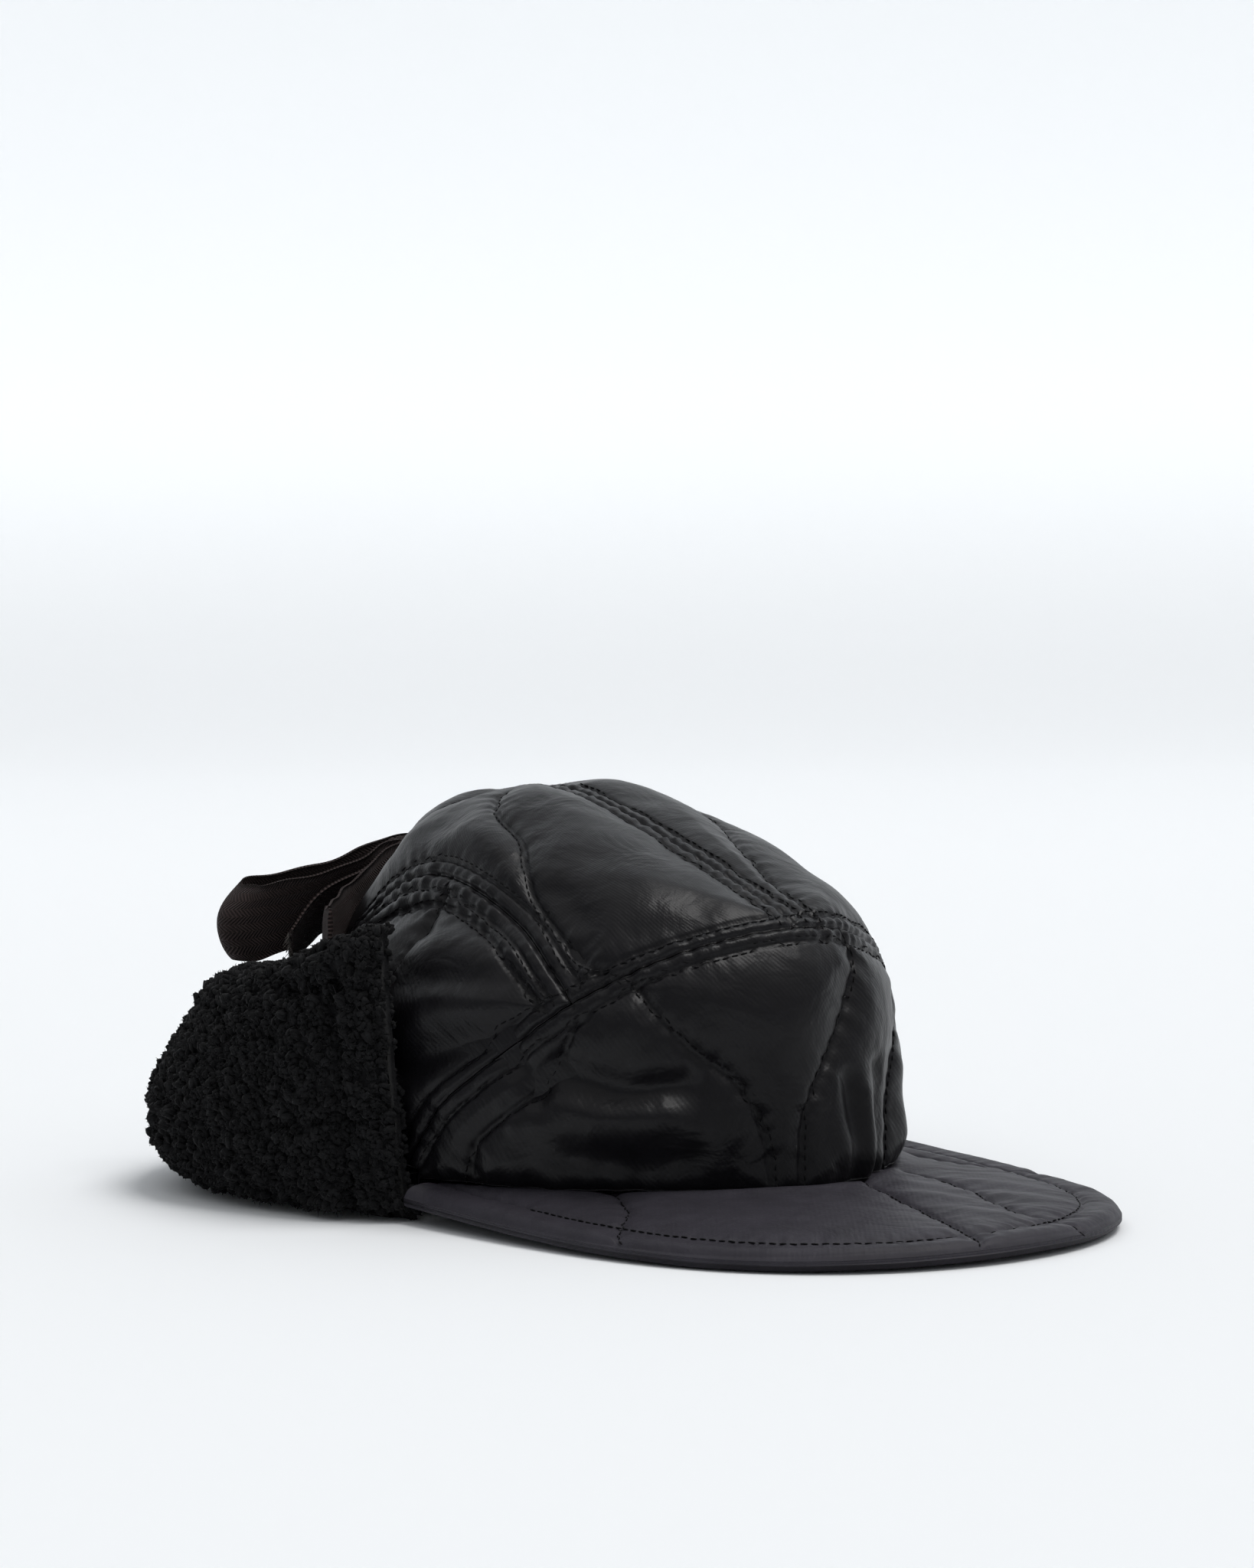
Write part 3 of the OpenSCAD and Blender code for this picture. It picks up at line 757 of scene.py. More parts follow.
class CAP_OT_lining(bpy.types.Operator):
    """Builds the linings and dresses the sweatband, hem, tapes and label"""

    bl_idname = "cap.lining"
    bl_label = "Linings and band"

    def execute(self, context):
        for panel in PANELS:
            piece = cloth_lining(panel)
            finish_piece(piece, CROWN, materials()["lining_twill"], [LININGS[panel]])
        finishes = {"centre_seam_tape": "binding_tape", "sweatband": "cotton_sweatband",
                    "rear_hem": "lining_twill", "size_label": "blank_woven_label",
                    "brim_board": "blank_woven_label"}
        for node, material in finishes.items():
            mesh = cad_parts[node].data
            mesh.materials.clear()
            mesh.materials.append(materials()[material])
        return {"FINISHED"}


# ---------------------------------------------------------------- brim

RIM_CORNER_Y = -10.9
BRIM_INNER_TURN = 76.0
BRIM_TUCK = 4.5
# Quilting lines on the brim as [x, y] in the hat's own frame
BRIM_QUILTS = [
    [(-52, -58), (-56, -70), (-63, -82), (-74, -93), (-84, -104)],
    [(15, -92), (12, -101), (3, -128), (-6, -152), (-15, -176)],
    [(40, -84), (38, -110), (27, -138), (22, -158), (24, -176)],
    [(66, -56), (70, -76), (80, -92), (88, -104)]]


def rim_point(t, back=0.0):
    """Points of the brim's outline; t runs from one rear corner to the other."""
    brim = sizes()[1]
    reach = brim.reach - WIDEST_Y + RIM_CORNER_Y - back
    sn, cs = np.sin(np.radians(t)), np.cos(np.radians(t))
    x = -(brim.half_width - back) * np.sign(sn) * np.abs(sn) ** (2 / 2.02)
    y = RIM_CORNER_Y - reach * np.abs(cs) ** (2 / 3.74)
    return np.stack([x, y], -1)


def base_outline(turn, out=0.0):
    """The crown's base outline in plan, moved outwards, in the hat's own frame."""
    at = lambda t: crown_point(t, 0.0)[..., :2] - [0, hat_shift()]
    p = at(turn)
    step = at(turn + 0.5) - at(turn - 0.5)
    n = np.stack([step[..., 1], -step[..., 0]], -1)
    n /= np.linalg.norm(n, axis=-1, keepdims=True)
    away = np.sign((n * (p - [0, WIDEST_Y])).sum(-1))
    return p + n * (away * out)[..., None], n * away[..., None]


def brim_height(x, y):
    """The brim's upper face, in the hat's own frame."""
    crown, brim = sizes()[:2]
    return brim.seat - x ** 2 / (2 * brim.camber) + brim.rise * (y - WIDEST_Y + crown.front)


def brim_layer_object(name, nu, nv, top):
    """One padded brim cover; the top one rolls down over the rim."""
    brim = sizes()[1]
    t = np.linspace(-90, 90, nu)
    share = np.linspace(0, 1, nv) ** 0.9
    inner_edge = base_outline(t * BRIM_INNER_TURN / 90, -BRIM_TUCK)[0]
    outer_edge = rim_point(t)
    plan = inner_edge[:, None] + (outer_edge - inner_edge)[:, None] * share[None, :, None]
    rim_lines = [np.c_[outer_edge, np.zeros(nu)]]
    flat = np.concatenate([plan, np.zeros((nu, nv, 1))], -1).reshape(-1, 3)
    d_rim, run = LineField(rim_lines).nearest(flat)
    crown_line = base_outline(np.linspace(-BRIM_INNER_TURN, BRIM_INNER_TURN, 60))[0]
    d_crown, run_crown = LineField([np.c_[crown_line, np.zeros(60)]]).nearest(flat)
    quilt_field = LineField([np.c_[curve_through(q, 30), np.zeros(30)] for q in BRIM_QUILTS])
    d_quilt, run_quilt = quilt_field.nearest(flat)
    z = brim_height(flat[:, 0], flat[:, 1])
    edge = np.clip(d_rim / 3.2, 0, 1)
    roll = brim.thick * 0.62 * (1 - np.sqrt(np.maximum(0, 1 - (1 - edge) ** 2)))
    if top:
        d_stitch = np.abs(d_rim - brim.rim)
        near = np.minimum(np.minimum(d_stitch, d_quilt), d_rim + 3)
        z += 1.5 * (1 - np.exp(-near / 6.0)) - 0.9
        z -= 0.7 * np.exp(-(d_stitch / 0.9) ** 2) + 0.6 * np.exp(-(d_quilt / 0.9) ** 2)
        wobble = run + 2.0 * smooth_noise(flat, 24, 31)
        ripple = np.sin(wobble * 2 * math.pi / 7.0) + 0.7 * np.sin(wobble * 2 * math.pi / 4.3 + 1)
        patchy = 0.6 + 0.4 * smooth_noise(flat, 50, 32)
        z += 0.22 * ripple * np.exp(-(d_stitch / 6.0) ** 2) * patchy
        wobble = run_quilt + 1.5 * smooth_noise(flat, 20, 33)
        z += 0.2 * np.sin(wobble * 2 * math.pi / 7.5) * np.exp(-(d_quilt / 7) ** 1.5)
        fan = np.sin((flat[:, 0] * 0.9 + flat[:, 1] * 0.5) * 2 * math.pi / 17)
        off_centre = ((flat[:, 0] - 30) / 34) ** 2 + ((flat[:, 1] + 128) / 40) ** 2
        z += 0.35 * fan * np.exp(-off_centre)
        z += 0.25 * smooth_noise(flat, 30, 34)
        z += 0.9 * np.exp(-(d_crown / 4.0) ** 2) * (share[None, :].repeat(nu, 0).ravel() > 0.05)
        z -= roll
        low = brim_height(flat[:, 0], flat[:, 1]) - brim.thick * 0.5 - 0.15
        z = np.maximum(z, low + 0.5)
    else:
        z -= brim.thick * 0.5 + 0.15
        low = brim_height(flat[:, 0], flat[:, 1]) - brim.thick + roll * 0.55
        low += 0.12 * smooth_noise(flat, 30, 35)
        low += 0.35 * np.exp(-((d_rim - brim.rim) / 0.9) ** 2)
    upper = np.c_[flat[:, 0], flat[:, 1] + hat_shift(), z].reshape(nu, nv, 3)
    lower = np.c_[flat[:, 0], flat[:, 1] + hat_shift(), low].reshape(nu, nv, 3)
    uv = flat[:, :2].reshape(nu, nv, 2) * MM
    return slab_object(name, upper, lower, uv)


class CAP_OT_brim(bpy.types.Operator):
    """Builds the padded brim covers"""

    bl_idname = "cap.brim"
    bl_label = "Brim covers"

    def execute(self, context):
        # Both brim covers take the lighter nylon, with the light on the brim painted into its
        # colour
        nylon = materials()["brim_satin_nylon"]
        top = brim_layer_object("brim_top_cover_cloth", 300, 70, True)
        finish_piece(top, CROWN, nylon, ["brim_top_cover", "brim_board"])
        under = brim_layer_object("brim_under_cover_cloth", 200, 40, False)
        finish_piece(under, CROWN, nylon, ["brim_under_cover"])
        return {"FINISHED"}


# ---------------------------------------------------------------- flap

FLAP_START = 79.0
FOLD_CLEAR = 0.8
LENGTHS = {"ear_right": (FLAP_START, 114.0), "corner_right": (114.0, 158.0),
           "neck": (158.0, 202.0), "corner_left": (202.0, 246.0),
           "ear_left": (246.0, 360.0 - FLAP_START)}


def ease(x, low, high):
    """A smooth step from 0 at low to 1 at high."""
    t = np.clip((x - low) / (high - low), 0, 1)
    return t * t * (3 - 2 * t)


# Degrees that an ear lobe's front edge leans back over its height, and how much lower the
# left lobe lies
LOBE_SLANT, LEFT_SLANT, LEFT_DROP = 5.0, 14.0, 8.0
# The top edge drops in two steps: their shares, and the turns where each ends
FIRST_DROP, SECOND_DROP, STEP_END, NECK_START = 0.57, 0.43, 116, 160
# Lowest height of the pile's outer face
PILE_FLOOR = 4.6
# How far the shell stays behind the lobes' front edges, in degrees, and its share of the height
SHELL_INSET, SHELL_TOP = 4.5, 0.94


def right_turn(turn):
    """The same turn seen on the right side, 0 to 180."""
    return np.where(turn > 180, 360 - turn, turn)


def signed_turn(turn):
    """The same turn as -180 to 180."""
    return np.where(turn > 180, turn - 360, turn)


def flap_height(turn):
    """Height of the folded flap, dropping from the ear lobes to the neck."""
    flap = sizes()[2]
    right = right_turn(turn)
    lobe = flap.lobe - np.where(turn > 180, LEFT_DROP, 0)
    first = FIRST_DROP * ease(right, FLAP_START, STEP_END)
    second = SECOND_DROP * ease(right, STEP_END, NECK_START)
    return lobe - (lobe - flap.neck) * (first + second)


def flap_surface(turn, v, out):
    """Points of the folded flap: turn round the head, share of height, distance outwards."""
    flap = sizes()[2]
    right = right_turn(turn)
    plan, normal = base_outline(signed_turn(turn), FOLD_CLEAR)
    height = flap_height(turn)
    rise = ease(right, FLAP_START, 132)
    belly = 1.5 + (flap.belly - 1.5) * rise * (1 - 0.25 * ease(right, 145, 180))
    lean = 1.5 + 10.0 * ease(right, 90, 140)
    offset = belly * np.sin(math.pi * np.clip(v, 0, 1) ** 0.55) + lean * v + out
    z = 0.5 + height * v
    xy = plan + normal * offset[..., None]
    return np.stack([xy[..., 0], xy[..., 1] + hat_shift(), z], -1)


def flap_grid(length, nu, nv, inset=0.0):
    """Turn and height share over one length; the ear lobes' front edges slant back."""
    first, last = LENGTHS[length]
    u = np.linspace(0, 1, nu)[:, None]
    v = np.linspace(0, 1, nv)[None, :]
    start = first + (LOBE_SLANT * v + inset if length == "ear_right" else 0 * v) + 0.08
    end = last - (LEFT_SLANT * v + inset if length == "ear_left" else 0 * v) - 0.08
    return start + (end - start) * u, v + 0 * u


def pile_depth(turn, v):
    """Depth of the pile: thin at the lobe's front and top edges, grooved at their stitch line."""
    flap = sizes()[2]
    right = right_turn(turn)
    slant = np.where(turn > 180, LEFT_SLANT, LOBE_SLANT)
    front = np.clip((right - FLAP_START - slant * v) * 1.75, 0, 60)
    height = flap_height(turn)
    top = (1 - v) * height
    low = v * height
    edge = np.sqrt(1 - (1 - np.clip(front / 6, 0.12, 1)) ** 2)
    edge = edge * np.sqrt(1 - (1 - np.clip(top / 6, 0.05, 1)) ** 2)
    edge = edge * np.sqrt(1 - (1 - np.clip(low / 5, 0.12, 1)) ** 2)
    near = np.minimum(front, np.where(right < 104, top + 2 * np.maximum(0, right - 98), 99))
    groove = 0.5 * np.exp(-((near - 13) / 2.2) ** 2)
    crease = 0.22 * np.exp(-((low - 24 - 5 * np.sin(right * 0.09)) / 3.0) ** 2)
    return flap.pile * edge * (0.6 + 0.4 * ease(front, 4, 24)) * (1 - groove - crease)


def add_lock(verts, faces, path, radii, sides):
    """One tapered lock along a short path, closed at both ends."""
    start = len(verts)
    for k, (centre, radius) in enumerate(zip(path, radii)):
        ahead = unit_rows(path[min(k + 1, len(path) - 1)] - path[max(k - 1, 0)])
        one = unit_rows(np.cross(ahead, [0.31, 0.87, 0.23]))
        two = np.cross(ahead, one)
        for a in range(sides):
            angle = 2 * math.pi * a / sides
            verts.append(centre + radius * (one * math.cos(angle) + two * math.sin(angle)))
    for k in range(len(path) - 1):
        for a in range(sides):
            p, q = start + k * sides + a, start + k * sides + (a + 1) % sides
            faces.append((p, q, q + sides, p + sides))
    last = start + (len(path) - 1) * sides
    faces.append(tuple(last + a for a in range(sides)))
    faces.append(tuple(start + a for a in reversed(range(sides))))


def tuft_object(seed):
    """One knob of curled pile: fat locks that swirl inwards, and two stray fibres."""
    rng = np.random.default_rng(seed)
    verts, faces = [], []
    spin = rng.uniform(0, 6.28)
    for k in range(5):
        angle = spin + k * 2 * math.pi / 5 + rng.normal(0, 0.25)
        steps = np.linspace(0, 1, 4)
        radius = 1.6 - 1.15 * steps + rng.normal(0, 0.12)
        swirl = angle + 2.0 * steps
        tall = rng.uniform(1.9, 2.9)
        path = np.stack([radius * np.cos(swirl), radius * np.sin(swirl),
                         tall * np.sin(steps * 2.1) - 0.5], 1)
        add_lock(verts, faces, path, 0.76 * np.array([1.0, 1.1, 0.95, 0.55]), 4)
    for _ in range(2):
        root = np.array([*rng.normal(0, 0.5, 2), 0.8])
        aim = np.array([*rng.normal(0, 1.0, 2), rng.uniform(1.6, 2.7)])
        bend = np.array([*rng.normal(0, 0.8, 2), -0.5])
        path = np.array([root + aim * t + bend * t * t for t in (0, 0.5, 1)])
        add_lock(verts, faces, path, [0.2, 0.16, 0.06], 3)
    return closed_object("curl", verts, faces)


def node_group(name, inputs):
    """A geometry node tree, its inputs' ids, and a new tree's input sockets (None for a tree
    that was made before). Each input is its name, kind and default."""
    tree = bpy.data.node_groups.get(name)
    if tree is not None:
        return tree, {i.name: i.identifier for i in tree.interface.items_tree
                      if i.in_out == "INPUT"}, None
    tree = bpy.data.node_groups.new(name, "GeometryNodeTree")
    ids = {}
    for label, kind, value in inputs:
        socket = tree.interface.new_socket(name=label, in_out="INPUT",
                                           socket_type="NodeSocket" + kind)
        if value is not None:
            socket.default_value = value
        ids[label] = socket.identifier
    tree.interface.new_socket(name="Geometry", in_out="OUTPUT", socket_type="NodeSocketGeometry")
    return tree, ids, add_node(tree, "NodeGroupInput").outputs


def end_tree(tree, geometry, material):
    """Makes a tree's instances real, gives them their material and hands them out."""
    real = add_node(tree, "GeometryNodeRealizeInstances", [("Geometry", geometry)])
    dressed = add_node(tree, "GeometryNodeSetMaterial",
                       [("Geometry", real.outputs[0]), ("Material", material)])
    add_node(tree, "NodeGroupOutput", [("Geometry", dressed.outputs[0])])


def run_tree(obj, name, tree, ids, values):
    """Runs a tree on an object with its inputs' values; returns the plain mesh object."""
    modifier = obj.modifiers.new(tree.name, "NODES")
    modifier.node_group = tree
    for label, value in values.items():
        modifier[ids[label]] = value
    return evaluated_mesh(obj, name)


def tuft_tree():
    """Curls strewn over a pile base, keeping the base."""
    tree, ids, given = node_group("strew_curls", [
        ("Geometry", "Geometry", None), ("Curl", "Object", None), ("Spacing", "Float", 0.002),
        ("Density", "Float", 200000.0), ("Seed", "Int", 1), ("Material", "Material", None)])
    if given is None:
        return tree, ids
    wool = add_node(tree, "GeometryNodeInputNamedAttribute", data_type="FLOAT", in_Name="wool")
    points = add_node(tree, "GeometryNodeDistributePointsOnFaces",
                      [("Mesh", given["Geometry"]), ("Distance Min", given["Spacing"]),
                       ("Density Max", given["Density"]), ("Seed", given["Seed"]),
                       ("Density Factor", wool.outputs["Attribute"])],
                      distribute_method="POISSON")
    info = add_node(tree, "GeometryNodeObjectInfo", [("Object", given["Curl"])])
    spin = add_node(tree, "FunctionNodeRandomValue", [("Seed", given["Seed"])],
                    data_type="FLOAT_VECTOR")
    spin.inputs[0].default_value = (-0.5, -0.5, 0.0)
    spin.inputs[1].default_value = (0.5, 0.5, 6.28)
    turned = add_node(tree, "FunctionNodeRotateRotation",
                      [("Rotation", points.outputs["Rotation"]), ("Rotate By", spin.outputs[0])],
                      rotation_space="LOCAL")
    size = add_node(tree, "FunctionNodeRandomValue", [("Seed", given["Seed"])],
                    data_type="FLOAT")
    size.inputs[2].default_value = 0.7
    size.inputs[3].default_value = 1.25
    held = add_node(tree, "GeometryNodeInstanceOnPoints",
                    [("Points", points.outputs["Points"]), ("Instance", info.outputs["Geometry"]),
                     ("Rotation", turned.outputs[0]), ("Scale", size.outputs[1])])
    joined = add_node(tree, "GeometryNodeJoinGeometry")
    tree.links.new(held.outputs["Instances"], joined.inputs[0])
    tree.links.new(given["Geometry"], joined.inputs[0])
    end_tree(tree, joined.outputs[0], given["Material"])
    return tree, ids


def pile_piece(length, seed):
    """The pile of one length of flap, with its curls."""
    flap = sizes()[2]
    nu, nv = 40, 60
    turn, v = flap_grid(length, nu, nv)
    depth = pile_depth(turn, v)
    # The pile wraps over the shell's front and top edges
    root = -0.6 + (flap.shell + 0.7) * np.clip(depth / flap.pile * 1.5, 0, 1)
    inner = flap_surface(turn, v, root)
    outer = flap_surface(turn, v, root + depth)
    lumps = 0.8 * smooth_noise(outer.reshape(-1, 3), 13, 41) + 1.0 * smooth_noise(
        outer.reshape(-1, 3), 6.0, 42)
    push = np.minimum(1, depth / 6).ravel() * lumps
    away = (outer - inner).reshape(-1, 3)
    away /= np.maximum(1e-6, np.linalg.norm(away, axis=1, keepdims=True))
    outer = (outer.reshape(-1, 3) + away * push[:, None]).reshape(nu, nv, 3)
    outer[..., 2] = np.maximum(outer[..., 2], PILE_FLOOR + 0.8 * np.sin(turn * 1.7))
    base = slab_object(length + "_pile_base", outer, inner)
    wool = np.zeros((2, nu, nv), np.float32)
    wool[0] = 1
    # Curls cover the lobes' front edges and the top edge too
    wool[1, :, -2:] = 1
    if length == "ear_right":
        wool[1, :2] = 1
    elif length == "ear_left":
        wool[1, -2:] = 1
    attribute = base.data.attributes.new("wool", "FLOAT", "POINT")
    attribute.data.foreach_set("value", wool.ravel())
    base.data.materials.append(materials()["curled_pile"])
    curl = tuft_object(seed)
    tree, ids = tuft_tree()
    result = run_tree(base, length + "_pile_curls", tree, ids, {
        "Curl": curl, "Spacing": flap.tuft_gap * MM * 1.0,
        "Density": 400000.0, "Seed": seed, "Material": materials()["curled_pile"]})
    bpy.data.objects.remove(curl, do_unlink=True)
    return result


def shell_piece(length):
    """The quilted nylon of one length of flap."""
    flap = sizes()[2]
    nu, nv = 50, 56
    turn, v = flap_grid(length, nu, nv, SHELL_INSET)
    v = v * SHELL_TOP
    near = flap_surface(turn, v, np.zeros_like(turn))
    flat = near.reshape(-1, 3)
    waves = np.sin(turn * 0.33 + 2.2 * np.sin(v * 5.5)) ** 2
    relief = -1.1 * np.exp(-(waves * 8)) + 0.3 * smooth_noise(flat, 24, 51).reshape(nu, nv)
    near = flap_surface(turn, v, -(1.0 + relief) * 0.6 + 0.6)
    far = flap_surface(turn, v, np.full_like(turn, flap.shell))
    far[..., 2] = np.maximum(far[..., 2], 0.5)
    uv = np.stack([turn * DEGREE_MM, v * 80], -1) * MM
    return slab_object(length + "_shell_cloth", far, near, uv)


# The fold's section, from inside the crown to the flap's foot: distance outwards and height
FOLD_SECTION = [(-2.4, 15.5), (-1.6, 10.0), (-0.75, 5.0), (-0.72, 2.5), (-0.6, 0.9),
                (-0.1, 0.35), (0.5, 0.3), (1.2, 0.5), (1.6, 1.6), (1.7, 3.5)]


def fold_strip(length):
    """The folded cloth that joins one length of flap to the rear hem."""
    first, last = LENGTHS[length]
    turn = np.linspace(first + 0.3, last - 0.3, 40)
    plan, normal = base_outline(signed_turn(turn), FOLD_CLEAR)
    rows = []
    for thick in (0.0, 0.35):
        grid = []
        for k, (out, z) in enumerate(FOLD_SECTION):
            bend = math.pi * k / (len(FOLD_SECTION) - 1)
            xy = plan + normal * (out + thick * math.cos(bend))
            grid.append(np.c_[xy[:, 0], xy[:, 1] + hat_shift(),
                              np.full(len(turn), z + thick * math.sin(bend))])
        rows.append(np.stack(grid, 1))
    rows_up = np.arange(len(FOLD_SECTION))
    uv = np.stack(np.meshgrid(turn * DEGREE_MM, rows_up, indexing="ij"), -1) * MM
    return slab_object(length + "_fold_cloth", rows[1], rows[0], uv)


class CAP_OT_flap(bpy.types.Operator):
    """Builds the folded flap: nylon, pile and the fold at its foot"""

    bl_idname = "cap.flap"
    bl_label = "Flap"

    def execute(self, context):
        seed = sizes()[2].seed
        for number, length in enumerate(LENGTHS):
            part, _, side = length.partition("_")
            tail = "_" + side if side else ""
            middle = np.mean(LENGTHS[length])
            plan = base_outline(signed_turn(np.array([middle])), FOLD_CLEAR)[0]
            pile = pile_piece(length, seed + number)
            shell = shell_piece(length)
            for piece, material, node in ((pile, "curled_pile", "pile"),
                                          (shell, "satin_nylon", "shell")):
                piece.data.materials.clear()
                piece.data.materials.append(materials()[material])
                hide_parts(part + "_" + node + tail)
                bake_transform(piece)
            strip = fold_strip(length)
            finish_piece(strip, CROWN, materials()["satin_nylon"])
        return {"FINISHED"}


# ---------------------------------------------------------------- tie tape

# A route within 8 mm of the CAD tape's, in the hat's own frame: x, y, z and the
# tape's twist about its own line, in degrees
TAPE_ROUTE = [
    (-86, 29.8, 76.5, 0), (-80.5, 40, 76, 0), (-72, 52, 75.5, 0), (-61.5, 63.5, 76, 0),
    (-48.5, 76.5, 78, 0), (-34.5, 87.5, 82, 8), (-21.5, 94, 86.7, 6), (-10, 97, 90, 0),
    (-3.5, 99.3, 91, 0), (-1.7, 104, 91, 0), (-3.5, 108.7, 91, 0), (-10, 111.5, 90, -18),
    (-20, 115, 87.2, -30), (-34, 119, 84, -33), (-48, 122.5, 81, -22), (-58, 124, 79.2, -10),
    (-64, 122.5, 78, -4), (-66.5, 118.5, 77.2, 0), (-64, 114.5, 77.2, 4),
    (-57, 112, 77.8, 8), (-46, 110.5, 79.6, 16), (-33, 109.3, 83.2, 30), (-20, 107.5, 87, 28),
    (-11.5, 105.8, 89, 10), (-7.5, 103.8, 89.3, 0), (-11.5, 101.8, 89, -15),
    (-20, 100.3, 88, -32), (-29, 99, 86, -40), (-38, 98.3, 83.2, -42), (-46.5, 98, 78.6, -42),
    (-54.5, 98, 70.5, -45)]
ROUTE_STEPS = 260
KNOT_CENTRE = (0, 104.5, 90)


def unit_rows(rows):
    """Rows of vectors brought to length one."""
    return rows / np.maximum(1e-9, np.linalg.norm(rows, axis=-1, keepdims=True))


def smoothed(rows, reach):
    """A running mean down the rows."""
    kernel = np.ones(2 * reach + 1) / (2 * reach + 1)
    return np.stack([np.convolve(np.pad(rows[:, k], reach, "edge"), kernel, "valid")
                     for k in range(rows.shape[1])], 1)


def ribbon(name, route, width, thick, sign):
    """A flat tape swept along a route; returns it, its path in metres and its length."""
    line = curve_through(route, ROUTE_STEPS)
    path, twist = line[:, :3], np.radians(line[:, 3:4])
    step = unit_rows(np.gradient(path, axis=0))
    across = unit_rows(smoothed(unit_rows(np.cross(step, [0, 0, 1])), 3))
    wide = unit_rows(np.cross(across, step))
    wide, across = (wide * np.cos(twist) + across * np.sin(twist),
                    across * np.cos(twist) - wide * np.sin(twist))
    columns = np.linspace(-1, 1, 17)
    run = np.concatenate([[0], np.cumsum(np.linalg.norm(np.diff(path, axis=0), axis=1))])
    grids = []
    for face in (1, -1):
        rows = []
        for c in columns:
            # The tape cups a little across its width, and its edges wander
            cup = 0.55 * (c * c - 0.4) * np.sin(run / 17.0) + 0.18 * np.sin(run / 4.3 + 2 * c)
            edge = 0.35 * abs(c) ** 5 * np.sign(c) * np.sin(run / 3.1 + c)
            half = thick / 2 * (1 - 0.5 * abs(c) ** 6)
            rows.append(path + wide * (c * width / 2 + edge)[:, None]
                        + across * (cup + face * half)[:, None])
        grids.append(np.stack(rows, 1))
    for grid in grids:
        # The loop's outer end rounds over, because its edges are pulled back
        at_turn = np.exp(-((grid[..., 0] + 68) / 9) ** 2) * (grid[..., 1] > 108)
        grid[..., 0] += np.where(columns > 0, 8.5, 4.5)[None, :] * columns[None, :] ** 2 * at_turn
        grid[..., 0] *= sign
        grid[..., 1] += hat_shift()
    uv = np.stack(np.meshgrid(run, columns * width / 2 + width / 2, indexing="ij"), -1) * MM
    obj = slab_object(name, grids[0], grids[1], uv)
    path = path * [sign, 1, 1] + [0, hat_shift(), 0]
    return obj, path * MM, run[-1] * MM


def frayed_end(name, sign):
    """Loose threads at the tape's cut end."""
    rng = np.random.default_rng(17)
    line = curve_through(TAPE_ROUTE, ROUTE_STEPS)
    tip, ahead = line[-1, :3], unit_rows(line[-1, :3] - line[-5, :3])
    across = unit_rows(np.cross(ahead, [0, 0, 1]))
    upright = np.cross(across, ahead)
    twist = math.radians(TAPE_ROUTE[-1][3])
    wide = upright * math.cos(twist) + across * math.sin(twist)
    verts, faces = [], []
    for _ in range(90):
        root = tip + wide * rng.uniform(-11.5, 11.5) - ahead * 0.6
        aim = ahead * rng.uniform(0.8, 2.6) + rng.normal(0, 0.55, 3)
        side = unit_rows(np.cross(aim, rng.normal(size=3))) * 0.11
        other = unit_rows(np.cross(aim, side)) * 0.11
        start = len(verts)
        for share, taper in ((0, 1), (0.5, 0.9), (1, 0.5)):
            sag = np.array([0, 0, -0.5]) * share * share
            for edge in (side, other, -side - other):
                verts.append(root + aim * share + sag + edge * taper)
        for k in (0, 3):
            for a in range(3):
                b = (a + 1) % 3
                faces.append((start + k + a, start + k + b, start + k + b + 3, start + k + a + 3))
        faces += [(start + 2, start + 1, start), (start + 6, start + 7, start + 8)]
    points = np.array(verts) * [sign, 1, 1] + [0, hat_shift(), 0]
    return closed_object(name, points, faces)


def knot_half(name, sign):
    """Half of the bow's knot: tape wound tightly round itself, with soft pleats."""
    centre = np.array(KNOT_CENTRE, float)
    around = np.linspace(0, 2 * math.pi, 61)[:-1]
    along = np.linspace(0, 1, 22)
    grid = np.zeros((len(along), len(around), 3))
    for i, share in enumerate(along):
        x = 0.3 + 13.2 * share
        swell = (1 - 0.34 * share ** 2.5) * (1 - 0.55 * max(0, share - 0.86) / 0.14)
        for j, angle in enumerate(around):
            pleat = 0.55 * math.sin(5 * angle + 3.0 * share)
            pleat += 0.5 * math.sin(9 * angle - 5 * share)
            wrap = 0.9 * math.exp(-((share - 0.42 - 0.08 * math.sin(angle)) / 0.05) ** 2)
            y = (10.2 * swell + pleat - wrap) * math.cos(angle)
            z = (13.0 * swell + pleat - wrap) * math.sin(angle)
            grid[i, j] = (centre[0] - x, centre[1] + y, centre[2] + z)
    grid[..., 0] *= sign
    grid[..., 1] += hat_shift()
    nu, nv = grid.shape[:2]
    caps = [grid[0].mean(0), grid[-1].mean(0)]
    verts = np.vstack([grid.reshape(-1, 3), caps]) * MM
    faces = []
    for j in range(nv):
        k = (j + 1) % nv
        faces += [(i * nv + j, i * nv + k, (i + 1) * nv + k, (i + 1) * nv + j)
                  for i in range(nu - 1)]
        faces.append((nu * nv, k, j))
        faces.append((nu * nv + 1, (nu - 1) * nv + j, (nu - 1) * nv + k))
    mesh = bpy.data.meshes.new(name)
    mesh.from_pydata(verts.tolist(), [], faces)
    layer = mesh.uv_layers.new(name="cloth")
    for loop in mesh.loops:
        index = loop.vertex_index
        row, column = divmod(min(index, nu * nv - 1), nv)
        layer.data[loop.index].uv = (column * 1.25 * MM, row * 0.75 * MM)
    make_outward(mesh)
    return linked_object(name, mesh)


